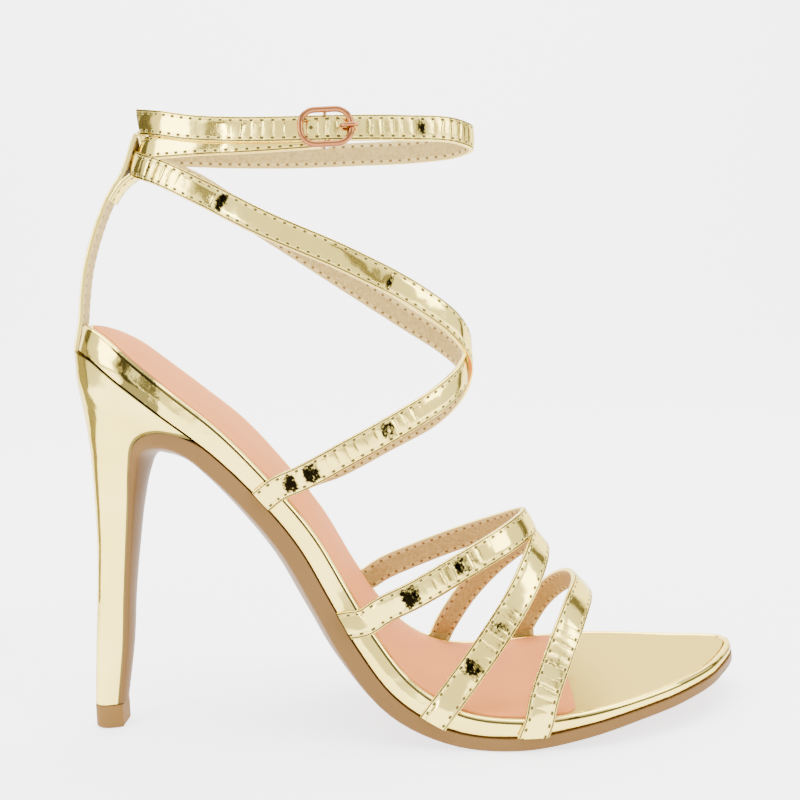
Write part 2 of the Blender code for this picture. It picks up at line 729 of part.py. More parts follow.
def fill_voids(obj):
    """Drop shells that face inwards: slits closed in between layers stitched together."""
    body = bmesh.new()
    body.from_mesh(obj.data)
    left = set(body.faces)
    while left:
        shell = {left.pop()}
        front = list(shell)
        while front:
            face = front.pop()
            for edge in face.edges:
                for other in edge.link_faces:
                    if other in left:
                        left.discard(other)
                        shell.add(other)
                        front.append(other)
        volume = sum(f.verts[0].co.dot(f.verts[1].co.cross(f.verts[2].co)) for f in shell)
        if volume < 0:
            bmesh.ops.delete(body, geom=list(shell), context="FACES")
    body.to_mesh(obj.data)
    body.free()


def build_riser(collection):
    """Strap up the back of the heel, folded over into a loop at its top."""
    x = np.array(column(RISER_ROWS, RISER_COLUMNS, "x")) * SHOE_RUN
    z = np.array(column(RISER_ROWS, RISER_COLUMNS, "z")) * SEAT_HEIGHT
    back = []
    for depth in (board_thick(0.0) - CLEARANCE, 0.5 * board_thick(0.0), 0.0):
        px, pz = sole_line(0.0, float(depth))
        back.append((float(px) - CLEARANCE - STRAP_THICK, 0.0, float(pz)))
    places = np.array(back + [(a, 0.0, b) for a, b in zip(x, z)])
    tangents = np.gradient(places, axis=0)
    normals = np.array([(-t[2], 0.0, t[0]) for t in tangents])
    normals /= np.linalg.norm(normals, axis=1)[:, None]
    points, facing = even_stations(places, normals, RISER_STEP)
    tangents = np.gradient(points, axis=0)
    facing = np.array([unit(np.array([-t[2], 0.0, t[0]])) for t in tangents])
    verts, faces = ribbon(points - facing * STRAP_THICK, facing, RISER_WIDTH, STRAP_THICK)
    return new_object("riser", verts, faces, collection)


def buckle_frame():
    """Middle of the buckle with its along, across and outward directions."""
    rib, turn = BUCKLE_PLACE
    normal = form_normal(rib, turn)
    along = unit(form_point(rib, turn + 0.01) - form_point(rib, turn - 0.01))
    along = unit(along - normal * np.dot(along, normal))
    across = np.cross(normal, along)
    return form_point(rib, turn), along, across, normal


def place_on_buckle(a, c, h):
    middle, along, across, normal = buckle_frame()
    return middle + along * a + across * c + normal * h


def wire(name, path, radius, cyclic, collection):
    """Round wire through points given along, across and above the strap."""
    curve = bpy.data.curves.new(name, "CURVE")
    curve.dimensions = "3D"
    curve.bevel_depth = radius
    curve.bevel_resolution = 2
    curve.use_fill_caps = not cyclic
    line = curve.splines.new("POLY")
    line.points.add(len(path) - 1)
    for point, (a, c, h) in zip(line.points, path):
        point.co = (*place_on_buckle(a, c, h), 1.0)
    line.use_cyclic_u = cyclic
    holder = bpy.data.objects.new(name + "_curve", curve)
    collection.objects.link(holder)
    graph = bpy.context.evaluated_depsgraph_get()
    graph.update()
    mesh = bpy.data.meshes.new_from_object(holder.evaluated_get(graph))
    bpy.data.objects.remove(holder)
    body = bmesh.new()
    body.from_mesh(mesh)
    bmesh.ops.remove_doubles(body, verts=body.verts, dist=0.00001)
    bmesh.ops.triangulate(body, faces=body.faces)
    bmesh.ops.recalc_face_normals(body, faces=body.faces)
    body.to_mesh(mesh)
    body.free()
    obj = bpy.data.objects.new(name, mesh)
    collection.objects.link(obj)
    return obj


def build_buckle(collection):
    """Frame over the strap, centre bar under it and a prong up through its hole."""
    half_a = BUCKLE_LENGTH / 2 - BUCKLE_WIRE
    half_c = BUCKLE_HEIGHT / 2 - BUCKLE_WIRE
    over = CLEARANCE + BUCKLE_WIRE + FRAME_STAND
    under = -STRAP_THICK - CLEARANCE - BAR_WIRE
    path = []
    corners = ((1, 1, 0), (-1, 1, 90), (-1, -1, 180), (1, -1, 270))
    for side_a, side_c, start in corners:
        for k in range(6):
            angle = math.radians(start + 18 * k)
            a = side_a * (half_a - BUCKLE_CORNER) + BUCKLE_CORNER * math.cos(angle)
            c = side_c * (half_c - BUCKLE_CORNER) + BUCKLE_CORNER * math.sin(angle)
            path.append((a, c, over))
    frame = wire("buckle", path, BUCKLE_WIRE, True, collection)
    clear = ANKLE_WIDTH / 2 + CLEARANCE + BAR_WIRE
    bar_path = ((0.0, half_c, over), (0.0, (half_c + clear) / 2, under * 0.5),
                (0.0, clear, under), (0.0, 0.0, under), (0.0, -clear, under),
                (0.0, -(half_c + clear) / 2, under * 0.5), (0.0, -half_c, over))
    bar = wire("bar", bar_path, BAR_WIRE, False, collection)
    join_into(frame, bar)
    top = over + BUCKLE_WIRE + BAR_WIRE * 0.5
    prong_path = ((0.0, 0.0, under), (HOLE_REACH - PRONG_SLANT, 0.0, under),
                  (HOLE_REACH, 0.0, under * 0.35), (HOLE_REACH + PRONG_SLANT, 0.0, top * 0.75),
                  (half_a - PRONG_SLANT, 0.0, top), (half_a + BAR_WIRE, 0.0, top),
                  (half_a + BUCKLE_WIRE * 2, 0.0, top - BAR_WIRE))
    prong = wire("prong", prong_path, BAR_WIRE, False, collection)
    join_into(frame, prong)
    return frame


def hole_turn(reach):
    """Turn on the free end that lies this far along the strap from the centre bar."""
    rib, turn = BUCKLE_PLACE
    step = 0.01
    rate = np.linalg.norm(form_point(rib, turn + step) - form_point(rib, turn - step)) / (2 * step)
    return turn - 2 + reach / rate


def punch(target, turn, collection):
    """Round hole through the free end, square to its face."""
    ribs = column(INNER_CROSS_ROWS, PATH_COLUMNS, "rib")
    turns = column(INNER_CROSS_ROWS, PATH_COLUMNS, "turn")
    rib = float(smooth([-t for t in turns], ribs, -turn))
    normal = form_normal(rib, turn)
    centre = form_point(rib, turn) - normal * STRAP_THICK / 2
    tool_mesh = bpy.data.meshes.new("punch")
    body = bmesh.new()
    bmesh.ops.create_cone(body, cap_ends=True, segments=14, radius1=HOLE_RADIUS, radius2=HOLE_RADIUS,
                          depth=STRAP_THICK * 1.3)
    body.to_mesh(tool_mesh)
    body.free()
    tool = bpy.data.objects.new("punch", tool_mesh)
    collection.objects.link(tool)
    tool.location = Vector(centre)
    tool.rotation_mode = "QUATERNION"
    tool.rotation_quaternion = Vector(normal).to_track_quat("Z", "Y")
    cut_from(target, tool)


def build_ankle_straps(collection):
    straps = strap("ankle_straps", OUTER_CROSS_ROWS, ANKLE_WIDTH, collection,
                   first_foot=(*OUTER_CROSS_FOOT, -1))
    join_into(straps, strap("inner_cross", INNER_CROSS_ROWS, ANKLE_WIDTH, collection,
                            first_foot=(*INNER_CROSS_FOOT, 1), end_slant=FREE_END_SLANT))
    join_into(straps, build_riser(collection))
    for reach in (HOLE_REACH, SPARE_HOLE_REACH):
        punch(straps, hole_turn(reach), collection)
    fill_voids(straps)
    return straps


def feet(shares):
    tuck_outer, rim_outer, rim_inner, tuck_inner = shares
    return (tuck_outer, rim_outer, -1), (tuck_inner, rim_inner, 1)


def build_vamp_straps(collection):
    first, last = feet(REAR_VAMP_FEET)
    straps = strap("vamp_straps", REAR_VAMP_ROWS, VAMP_WIDTH, collection, first, last)
    first, last = feet(MIDDLE_VAMP_FEET)
    join_into(straps, strap("middle_vamp", MIDDLE_VAMP_ROWS, VAMP_WIDTH, collection, first, last))
    return straps


def build_toe_strap(collection):
    first, last = feet(TOE_STRAP_FEET)
    return strap("toe_strap", TOE_STRAP_ROWS, VAMP_WIDTH, collection, first, last)


def material(name, colour, metallic, roughness):
    mat = bpy.data.materials.new(name)
    mat.use_nodes = True
    shader = mat.node_tree.nodes["Principled BSDF"]
    shader.inputs["Base Color"].default_value = (*colour, 1.0)
    shader.inputs["Metallic"].default_value = metallic
    shader.inputs["Roughness"].default_value = roughness
    mat.diffuse_color = (*colour, 1.0)
    return mat


def main():
    for obj in list(bpy.data.objects):
        bpy.data.objects.remove(obj)
    collection = bpy.data.collections.new("strappy_sandal")
    bpy.context.scene.collection.children.link(collection)
    gold = (0.80, 0.72, 0.50)
    tan = (0.45, 0.26, 0.12)
    pieces = (
        (build_board, gold, 1.0, 0.15),
        (build_sock, (0.78, 0.50, 0.36), 0.0, 0.6),
        (build_outsole, tan, 0.0, 0.45),
        (build_heel, gold, 1.0, 0.12),
        (build_top_piece, tan, 0.0, 0.5),
        (build_ankle_straps, gold, 1.0, 0.15),
        (build_vamp_straps, gold, 1.0, 0.15),
        (build_toe_strap, gold, 1.0, 0.15),
        (build_buckle, (0.72, 0.40, 0.26), 1.0, 0.2),
    )
    for build, colour, metallic, roughness in pieces:
        obj = build(collection)
        obj.data.materials.clear()
        obj.data.materials.append(material(obj.name + "_finish", colour, metallic, roughness))


main()
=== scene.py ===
"""Dresses the strappy stiletto sandal: mirror-gold foil straps with stitches and lining,
wrapped footbed with its sock, resin outsole, covered heel, rose-gold buckle, and a
plain pale studio. X runs to the toe, Y to the inner side of the foot and Z up, in metres.
"""
import math

import bmesh
import bpy
import numpy as np
from mathutils import Matrix, Vector


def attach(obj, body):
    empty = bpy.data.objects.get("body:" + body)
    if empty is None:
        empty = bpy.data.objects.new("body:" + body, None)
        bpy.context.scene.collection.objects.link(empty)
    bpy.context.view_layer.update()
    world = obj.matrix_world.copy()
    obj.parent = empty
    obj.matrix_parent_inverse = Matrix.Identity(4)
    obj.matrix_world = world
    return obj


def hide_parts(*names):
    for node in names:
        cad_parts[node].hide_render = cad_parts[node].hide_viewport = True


bl_info = {
    "name": "Strappy Stiletto Sandal",
    "version": (1, 0, 0),
    "blender": (4, 5, 0),
    "location": "View3D > Sidebar > Sandal",
    "description": "Builds the finished pieces of a strappy heeled sandal over its solids",
    "category": "Add Mesh",
}

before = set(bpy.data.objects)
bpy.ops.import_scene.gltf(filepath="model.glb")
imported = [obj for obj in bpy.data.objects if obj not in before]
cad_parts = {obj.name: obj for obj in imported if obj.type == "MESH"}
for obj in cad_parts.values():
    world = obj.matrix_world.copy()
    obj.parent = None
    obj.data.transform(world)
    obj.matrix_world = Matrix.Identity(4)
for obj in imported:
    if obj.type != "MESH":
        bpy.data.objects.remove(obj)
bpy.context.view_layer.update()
MM = 0.001

# Overall sizes
SHOE_RUN = 0.1952            # back rim to toe tip, along the floor
SEAT_HEIGHT = 0.1219         # floor to the back rim
BACK_REACH = 0.0015          # how far the back rim stands behind the heel tip's middle
BALL_HALF_WIDTH = 0.0365     # half the footbed's width at the ball
CLEARANCE = 0.0003           # gap left between neighbouring pieces

# Footbed
BOARD_THICK = 0.0065         # wall of the wrapped board at the shank
RIM_WIDTH = 0.0026           # raised rim around the sock
RECESS_DEPTH = 0.0008        # how far the sock's bed lies below the rim
SOCK_THICK = 0.0007          # lining sheet of the footbed
SOCK_GAP = 0.00045           # glue line between the sock and its bed
HEEL_ROUND_SHARE = 0.12      # share of the length over which the seat rounds off
TOE_ROUND_SHARE = 0.030      # share of the length over which the tip rounds off
SOCK_OUTER_SHARE = 0.770     # share of the length where the sock ends, outer side
SOCK_INNER_SHARE = 0.792     # and inner side
SOCK_CORNER = 0.0045         # rounding of the sock's front corners
TOE_BED_DEPTH = 0.00015      # bed under the toes, below the rim's foot
# The knock below is only a painted dark reflection in the cover's colour
KNOCK_PLACE = 0.020          # knock in the cover, from the heel tip forward
KNOCK_REACH = 0.0062         # and half its length
SLOPE_STEP = 0.004           # share of the length over which slopes are measured

# Outsole
TREAD_THICK = 0.0033         # edge of the outsole at the ball
TREAD_MARGIN = 0.0004        # how far the outsole stands proud of the board
CROWN_HEIGHT = 0.0048        # bulge of the waist below its edge
FLAP_THICK = 0.0017          # sheet on the heel breast, at the tip
FLAP_SINK_SHARE = 0.7        # how much of it lies within the tip's length
FLAP_EDGE_SHARE = 0.45       # edge of the sheet as a share of its middle
FLAP_TIP_SHARE = 0.80        # half width of the sheet at the tip, as a share of the tip's
BEND_SHARE = 0.022           # from the lip to where the sheet lies flat on the board
SOLE_END_SHARE = 0.9988      # where the sheet ends at the toe
SHEET_ROUND = 0.0007         # rounding of the sheet's lower edges
FLAP_SUNK = 0.0009           # the sheet is let into the heel's breast by this much

# Heel
LIP_SHARE = 0.205            # where the heel's forward lip ends, as a share of the length
HEEL_LEDGE = 0.0020          # how far the heel stands out behind the board, under the strap
LEDGE_SHARE = 0.35           # share of the seat over which that fades out
TIP_LENGTH = 0.0091          # heel tip, front to back
TIP_HALF_WIDTH = 0.0046      # half its width
TOP_PIECE_HEIGHT = 0.0070    # tread block under the heel
TOP_PIECE_ROUND = 0.0008     # rounding of its lower edge
TIP_MARGIN = 0.0001          # how far the tread block stands proud of the heel
TIP_FRONT_SHARE = 0.84       # width of the tip's flat front, as a share of its width
ROUND_SHARE = 0.55           # share of a heel section's depth that is rounded

# Straps
STRAP_THICK = 0.0015         # folded strap with its lining
VAMP_WIDTH = 0.0078          # width of the three front straps
ANKLE_WIDTH = 0.0072         # width of the crossing and ankle straps
RISER_WIDTH = 0.0068         # width of the strap that climbs from the heel
SLANT_REACH = 0.014          # length over which a slanted strap end straightens
FREE_END_SLANT = 0.5         # lean of the ankle strap's cut end
RISER_SEATED = 0.0004        # the riser reaches this far below the board, to the heel's seat
SPARE_HOLE_ALONG = 378.0     # along the crossing strap to its spare hole, in mm

# Buckle
BUCKLE_LENGTH = 0.0158       # outside, along the strap
BUCKLE_HEIGHT = 0.0112       # outside, across the strap
BUCKLE_WIRE = 0.00085        # radius of the frame
BUCKLE_CORNER = 0.0042       # corner radius of the frame's middle line
BAR_WIRE = 0.00060           # radius of centre bar and prong
FRAME_STAND = 0.0003         # extra room between frame and strap
HOLE_REACH = 0.0040          # from the centre bar to the prong's hole
PRONG_SLANT = 0.0007         # how far the prong leans as it comes through
WIRE_SIDES = 14              # corners of a wire's section
WIRE_STATIONS = 48           # sections along an open wire

# The sole's side view, plan and thickness, from the back rim to the tip.
# run is a share of SHOE_RUN, rise of SEAT_HEIGHT, middle and half of BALL_HALF_WIDTH,
# board of BOARD_THICK, tread of TREAD_THICK and crown of CROWN_HEIGHT.
SOLE_COLUMNS = ("share", "run", "rise", "middle", "half", "board", "tread", "crown")
SOLE_ROWS = (
    (0.00, 0.0060, 1.0000, 0.003, 0.614, 1.13, 1.25, 0.75),
    (0.02, 0.0240, 0.9930, 0.003, 0.622, 1.13, 1.25, 0.75),
    (0.05, 0.0550, 0.9660, 0.003, 0.633, 1.12, 1.25, 0.75),
    (0.10, 0.1020, 0.9020, 0.005, 0.652, 1.08, 1.25, 0.75),
    (0.16, 0.1600, 0.8220, 0.008, 0.690, 1.03, 1.30, 0.75),
    (0.22, 0.2170, 0.7420, 0.016, 0.688, 0.97, 1.35, 0.80),
    (0.30, 0.2840, 0.6190, 0.025, 0.636, 0.86, 1.35, 0.95),
    (0.38, 0.3450, 0.4880, 0.025, 0.589, 0.87, 1.40, 1.00),
    (0.46, 0.3930, 0.3450, 0.022, 0.600, 0.90, 1.40, 1.00),
    (0.52, 0.4310, 0.2390, 0.016, 0.680, 0.94, 1.40, 0.98),
    (0.58, 0.4790, 0.1440, 0.014, 0.792, 0.95, 1.35, 0.80),
    (0.64, 0.5440, 0.0850, 0.011, 0.907, 0.83, 1.10, 0.45),
    (0.70, 0.6200, 0.0700, 0.011, 0.989, 0.71, 1.05, 0.10),
    (0.77, 0.7085, 0.0775, 0.016, 0.995, 0.52, 1.00, 0.00),
    (0.84, 0.7970, 0.0910, 0.025, 0.866, 0.44, 0.88, 0.00),
    (0.90, 0.8730, 0.1034, 0.011, 0.649, 0.43, 0.85, 0.00),
    (0.95, 0.9365, 0.1100, 0.074, 0.422, 0.42, 0.80, 0.00),
    (0.98, 0.9740, 0.1125, 0.175, 0.262, 0.41, 0.78, 0.00),
    (1.00, 1.0000, 0.1150, 0.245, 0.190, 0.40, 0.75, 0.00),
)

# The heel's sections from tip to seat, each from its back point to its breast.
# x is a share of the lip's reach, z of SEAT_HEIGHT and half of the seat's half width.
# Columns: back x, back z, front x, front z, half width, share of it at the front.
HEEL_ROWS = (
    (-0.095, 0.205, 0.178, 0.205, 0.208, 0.84),
    (-0.057, 0.330, 0.219, 0.328, 0.232, 0.84),
    (-0.028, 0.450, 0.268, 0.448, 0.272, 0.86),
    (-0.022, 0.565, 0.320, 0.560, 0.330, 0.88),
    (-0.025, 0.670, 0.362, 0.645, 0.410, 0.90),
    (-0.034, 0.742, 0.425, 0.703, 0.545, 0.92),
    (-0.058, 0.812, 0.545, 0.729, 0.705, 0.95),
    (-0.085, 0.872, 0.720, 0.738, 0.855, 0.98),
)

# The sheet down the heel breast, from tip to waist, in shares of the same sizes.
# Columns: inner x, inner z, outer x, outer z, half width.
FLAP_ROWS = (
    (0.186, 0.205, 0.236, 0.205, 0.175),
    (0.227, 0.328, 0.277, 0.328, 0.195),
    (0.276, 0.448, 0.335, 0.448, 0.234),
    (0.328, 0.560, 0.398, 0.557, 0.290),
    (0.371, 0.642, 0.465, 0.632, 0.370),
    (0.434, 0.699, 0.518, 0.668, 0.500),
    (0.552, 0.724, 0.590, 0.680, 0.670),
    (0.722, 0.732, 0.695, 0.676, 0.830),
)

# The foot form the straps lie on: ribs from a root on the sole or the back of the
# leg to the crest line. x is a share of SHOE_RUN, z of SEAT_HEIGHT, half of
# BALL_HALF_WIDTH; closure 0 is an open arch and 1 a closed ring.
FORM_COLUMNS = ("rib", "root_x", "root_z", "crest_x", "crest_z", "half", "closure")
FORM_ROWS = (
    (0.0, 0.738, 0.084, 0.776, 0.254, 0.985, 0.00),
    (1.0, 0.637, 0.073, 0.743, 0.312, 1.025, 0.04),
    (2.0, 0.512, 0.102, 0.692, 0.410, 0.890, 0.08),
    (3.0, 0.422, 0.242, 0.663, 0.482, 0.726, 0.15),
    (4.0, 0.362, 0.418, 0.628, 0.648, 0.685, 0.22),
    (5.0, 0.293, 0.587, 0.591, 0.788, 0.712, 0.28),
    (6.0, 0.210, 0.742, 0.588, 0.902, 0.740, 0.35),
    (7.0, 0.095, 0.902, 0.592, 1.017, 0.726, 0.55),
    (8.0, 0.010, 1.050, 0.597, 1.148, 0.685, 0.85),
    (9.0, 0.048, 1.235, 0.601, 1.288, 0.616, 1.00),
    (10.0, 0.084, 1.395, 0.604, 1.415, 0.562, 1.00),
    (11.0, 0.096, 1.520, 0.606, 1.510, 0.548, 1.00),
)

# Strap paths on the form. turn is -1 at the outer root, 0 on the crest and 1 at the
# inner root, and runs on past the back of the leg; lift counts strap thicknesses.
# Columns: rib, turn, lift.
REAR_VAMP_ROWS = (
    (3.25, -0.93, 0.0),
    (3.20, -0.80, 0.0),
    (3.14, -0.60, 0.0),
    (3.01, -0.32, 0.1),
    (2.86, 0.00, 0.3),
    (2.88, 0.32, 0.1),
    (3.03, 0.56, 0.0),
    (3.17, 0.77, 0.0),
    (3.26, 0.93, 0.0),
)
MIDDLE_VAMP_ROWS = (
    (2.00, -0.94, 0.0),
    (2.05, -0.73, 0.0),
    (2.11, -0.50, 0.0),
    (2.21, -0.28, 0.0),
    (2.24, 0.00, -0.1),
    (2.16, 0.30, 0.0),
    (2.13, 0.55, 0.0),
    (2.05, 0.78, 0.0),
    (1.95, 0.93, 0.0),
)
TOE_STRAP_ROWS = (
    (1.05, -0.90, 0.0),
    (1.18, -0.65, 0.0),
    (1.18, -0.40, 0.0),
    (1.00, -0.12, 0.0),
    (0.90, 0.14, 0.0),
    (0.88, 0.44, 0.0),
    (0.82, 0.74, 0.0),
    (0.74, 0.92, 0.0),
)
# From the inner rim over the ankle's front, through the loop at the back and once
# round the ankle to the free end.
INNER_CROSS_ROWS = (
    (4.80, 0.86, 0.0),
    (4.82, 0.64, 0.0),
    (4.90, 0.40, 0.0),
    (5.18, 0.20, 0.0),
    (5.85, -0.01, 0.0),
    (6.58, -0.212, 0.0),
    (7.20, -0.32, 0.0),
    (7.95, -0.413, 0.0),
    (8.67, -0.542, 0.0),
    (9.24, -0.66, 0.0),
    (9.62, -0.775, 0.0),
    (9.82, -0.88, 0.0),
    (9.98, -1.00, 0.0),
    (10.12, -1.09, 0.0),
    (10.18, -1.18, 0.0),
    (10.17, -1.32, 0.0),
    (10.12, -1.46, 0.0),
    (10.07, -1.60, 0.0),
    (9.99, -1.74, 0.0),
    (9.95, -1.88, 0.0),
    (9.96, -2.00, 0.0),
    (10.01, -2.15, 0.0),
    (10.03, -2.31, 0.0),
    (10.06, -2.44, 0.0),
    (10.09, -2.53, 0.0),
    (10.16, -2.62, 0.0),
    (10.30, -2.72, 0.0),
    (10.46, -2.80, 0.0),
    (10.64, -2.93, 0.0),
)
# From the outer rim over the ankle's front, through the loop and on to the buckle.
OUTER_CROSS_ROWS = (
    (5.06, -0.91, 0.0),
    (5.11, -0.73, 0.0),
    (5.17, -0.55, 0.0),
    (5.27, -0.35, -0.2),
    (5.46, -0.14, -0.8),
    (5.75, 0.09, -0.8),
    (6.20, 0.234, -0.1),
    (6.95, 0.361, 0.0),
    (7.85, 0.433, 0.0),
    (8.67, 0.529, 0.0),
    (9.31, 0.642, 0.0),
    (9.70, 0.740, -0.2),
    (9.93, 0.86, -0.50),
    (10.03, 1.00, -0.60),
    (10.10, 1.12, -0.95),
    (10.06, 1.25, -1.2),
    (9.98, 1.40, -1.2),
    (9.97, 1.539, -1.2),
)
BUCKLE_PLACE = (10.05, -0.452)     # rib and turn of the buckle's middle

# Where each strap crosses the rim and where it tucks in, as shares of the length.
REAR_VAMP_FEET = (0.488, 0.496, 0.494, 0.490)
MIDDLE_VAMP_FEET = (0.617, 0.621, 0.632, 0.629)
TOE_STRAP_FEET = (0.716, 0.723, 0.750, 0.744)
OUTER_CROSS_FOOT = (0.313, 0.314)
INNER_CROSS_FOOT = (0.334, 0.335)

# The strap up the back and its folded loop, seen from the side: its outer face in
# shares of SHOE_RUN and SEAT_HEIGHT, up the back and down again inside the straps.
RISER_COLUMNS = ("x", "z")
RISER_ROWS = (
    (-0.0061, 1.059),
    (0.0015, 1.130),
    (0.0149, 1.202),
    (0.0328, 1.272),
    (0.0478, 1.317),
    (0.0655, 1.358),
    (0.0770, 1.399),
    (0.0850, 1.434),
    (0.0920, 1.454),
    (0.0980, 1.458),
    (0.1040, 1.444),
    (0.1060, 1.415),
    (0.1030, 1.378),
    (0.0891, 1.352),
    (0.0717, 1.331),
    (0.0594, 1.309),
    (0.0523, 1.290),
)

# Mesh fineness
SOLE_STATIONS = 110          # stations along the footbed
HEEL_STATIONS = 26           # points along one side of a heel section
HEEL_SECTIONS = 70           # sections from the heel's tip to its seat
BEND_SECTIONS = 60           # sections of the sheet from the tip round to the waist
PATH_STEP = 0.0008           # from section to section along a strap


def column(rows, names, name):
    index = names.index(name)
    return [row[index] for row in rows]


def smooth(keys, values, where):
    """Curve through a table's values that keeps its slope from row to row."""
    keys = np.asarray(keys, float)
    values = np.asarray(values, float)
    where = np.clip(np.asarray(where, float), keys[0], keys[-1])
    steps = np.diff(keys)
    slopes = np.diff(values) / steps
    tangents = np.empty_like(values)
    tangents[0] = slopes[0]
    tangents[-1] = slopes[-1]
    for i in range(1, len(keys) - 1):
        tangents[i] = (slopes[i - 1] * steps[i] + slopes[i] * steps[i - 1]) / (steps[i] + steps[i - 1])
    spot = np.clip(np.searchsorted(keys, where, side="right") - 1, 0, len(keys) - 2)
    width = steps[spot]
    u = (where - keys[spot]) / width
    return (values[spot] * (1 + 2 * u) * (1 - u) ** 2
            + values[spot + 1] * u * u * (3 - 2 * u)
            + width * tangents[spot] * u * (1 - u) ** 2
            - width * tangents[spot + 1] * u * u * (1 - u))


def smooth_points(keys, points, where):
    return np.array([smooth(keys, points[:, k], where) for k in range(3)]).T


def run_along(points):
    """Distance along a line from its first point to each of its points."""
    return np.concatenate([[0], np.cumsum(np.linalg.norm(np.diff(points, axis=0), axis=1))])


def sole_value(name, share):
    return smooth(column(SOLE_ROWS, SOLE_COLUMNS, "share"), column(SOLE_ROWS, SOLE_COLUMNS, name), share)


def sole_line(share, depth=0.0):
    """Side view of the footbed at a share of its length, moved down its own normal."""
    before = np.clip(share - SLOPE_STEP, 0, 1)
    after = np.clip(share + SLOPE_STEP, 0, 1)
    dx = (sole_value("run", after) - sole_value("run", before)) * SHOE_RUN
    dz = (sole_value("rise", after) - sole_value("rise", before)) * SEAT_HEIGHT
    size = np.hypot(dx, dz)
    x = sole_value("run", share) * SHOE_RUN - BACK_REACH
    z = sole_value("rise", share) * SEAT_HEIGHT
    return x + dz / size * depth, z - dx / size * depth


def sole_middle(share):
    return sole_value("middle", share) * BALL_HALF_WIDTH


def sole_half(share):
    heel = 1 - np.clip(share / HEEL_ROUND_SHARE, 0, 1)
    toe = 1 - np.clip((1 - share) / TOE_ROUND_SHARE, 0, 1)
    rounding = np.sqrt((1 - heel ** 2) * (1 - toe ** 2))
    return sole_value("half", share) * BALL_HALF_WIDTH * rounding


def board_thick(share):
    return sole_value("board", share) * BOARD_THICK


def rim_point(share, side, grow=0.0, depth=0.0):
    """Point on the footbed's side wall: side -1 is the outer side, 1 the inner."""
    x, z = sole_line(share, depth)
    y = sole_middle(share) + side * (sole_half(share) + grow)
    return np.array([float(x), float(y), float(z)])


def plan_length():
    share = np.linspace(0, 1, 801)
    x, z = sole_line(share)
    return share, np.concatenate([[0], np.cumsum(np.hypot(np.diff(x), np.diff(z)))])


def spread(count):
    """Stations from 0 to 1, closer together at both ends."""
    t = np.linspace(0, 1, count + 1)
    return 0.45 * t + 0.55 * (1 - np.cos(math.pi * t)) / 2


def inset_outline(inset, count, end_outer=1.0, end_inner=1.0):
    """Plan outline moved inwards: rows of share, outer y and inner y, ends included."""
    share, length = plan_length()
    # Finer towards the heel and the toe, where the outline turns fastest
    dense = np.concatenate([np.linspace(0, 0.02, 160), np.linspace(0.0201, 0.965, 500),
                            np.linspace(0.9651, 1, 200)])
    along = np.interp(dense, share, length)
    result = []
    for side, end in ((-1, end_outer), (1, end_inner)):
        y = sole_middle(dense) + side * sole_half(dense)
        slope_a = np.gradient(along)
        slope_y = np.gradient(y)
        size = np.hypot(slope_a, slope_y)
        moved_a = along + side * slope_y / size * inset
        moved_y = y - side * slope_a / size * inset
        # Points that the move has folded back over their neighbours are left out
        keep = np.concatenate([[True], np.diff(np.maximum.accumulate(moved_a)) > 1e-7])
        first = inset
        last = length[-1] - inset
        if end < 1.0:
            last = float(np.interp(end, share, length))
        stations = first + (last - first) * spread(count)
        edge = np.interp(stations, moved_a[keep], moved_y[keep])
        if end < 1.0:
            short = np.clip(SOCK_CORNER - (last - stations), 0, SOCK_CORNER)
            edge -= side * (SOCK_CORNER - np.sqrt(SOCK_CORNER ** 2 - short ** 2))
        shares = np.interp(stations, length, share)
        result.append((shares, edge))
    return result


def plan_ring(inset, depth, count, end_outer=1.0, end_inner=1.0):
    """Closed ring around the footbed at one inset and one depth below its surface."""
    (outer_s, outer_y), (inner_s, inner_y) = inset_outline(inset, count, end_outer, end_inner)
    open_end = end_outer < 1.0
    ring = []
    for i in range(count + 1):
        x, z = sole_line(outer_s[i], depth(outer_s[i]))
        y = outer_y[i]
        if i == 0 or (i == count and not open_end):
            y = (outer_y[i] + inner_y[i]) / 2
        ring.append((float(x), float(y), float(z)))
    if open_end:
        x, z = sole_line(inner_s[count], depth(inner_s[count]))
        ring.append((float(x), float(inner_y[count]), float(z)))
    for i in range(count - 1, 0, -1):
        x, z = sole_line(inner_s[i], depth(inner_s[i]))
        ring.append((float(x), float(inner_y[i]), float(z)))
    return ring


def seat_half():
    return float(sole_half(np.float64(LIP_SHARE)))


def lip_point():
    x, z = sole_line(LIP_SHARE, float(board_thick(LIP_SHARE)) + CLEARANCE)
    return float(x), float(z)


def heel_ring(back, front, half, front_half):
    """D-shaped section: rounded back, flat breast."""
    steps = np.linspace(0, 1, HEEL_STATIONS + 1)
    along = 1 - np.cos(steps * math.pi / 2)
    outer = []
    inner = []
    for a in along:
        gone = max(0.0, (a - ROUND_SHARE) / (1 - ROUND_SHARE))
        width = half * math.sqrt(1 - (1 - min(a / ROUND_SHARE, 1)) ** 2)
        width *= 1 + (front_half - 1) * gone * gone
        x = back[0] + (front[0] - back[0]) * a
        z = back[1] + (front[1] - back[1]) * a
        outer.append((x, -width, z))
        inner.append((x, width, z))
    return outer + inner[:0:-1]


def seat_ring():
    """Top section of the heel, flush with the underside of the board."""
    steps = np.linspace(0, 1, HEEL_STATIONS + 1)
    outer = []
    inner = []
    for a in 1 - np.cos(steps * math.pi / 2):
        share = np.float64(a * LIP_SHARE)
        x, z = sole_line(share, board_thick(share) + CLEARANCE)
        x -= HEEL_LEDGE * max(0.0, 1 - a / LEDGE_SHARE) ** 2
        y = sole_half(share)
        outer.append((float(x), float(sole_middle(share) - y), float(z)))
        inner.append((float(x), float(sole_middle(share) + y), float(z)))
    return outer + inner[:0:-1]


def form_value(name, rib):
    return smooth(column(FORM_ROWS, FORM_COLUMNS, "rib"), column(FORM_ROWS, FORM_COLUMNS, name), rib)


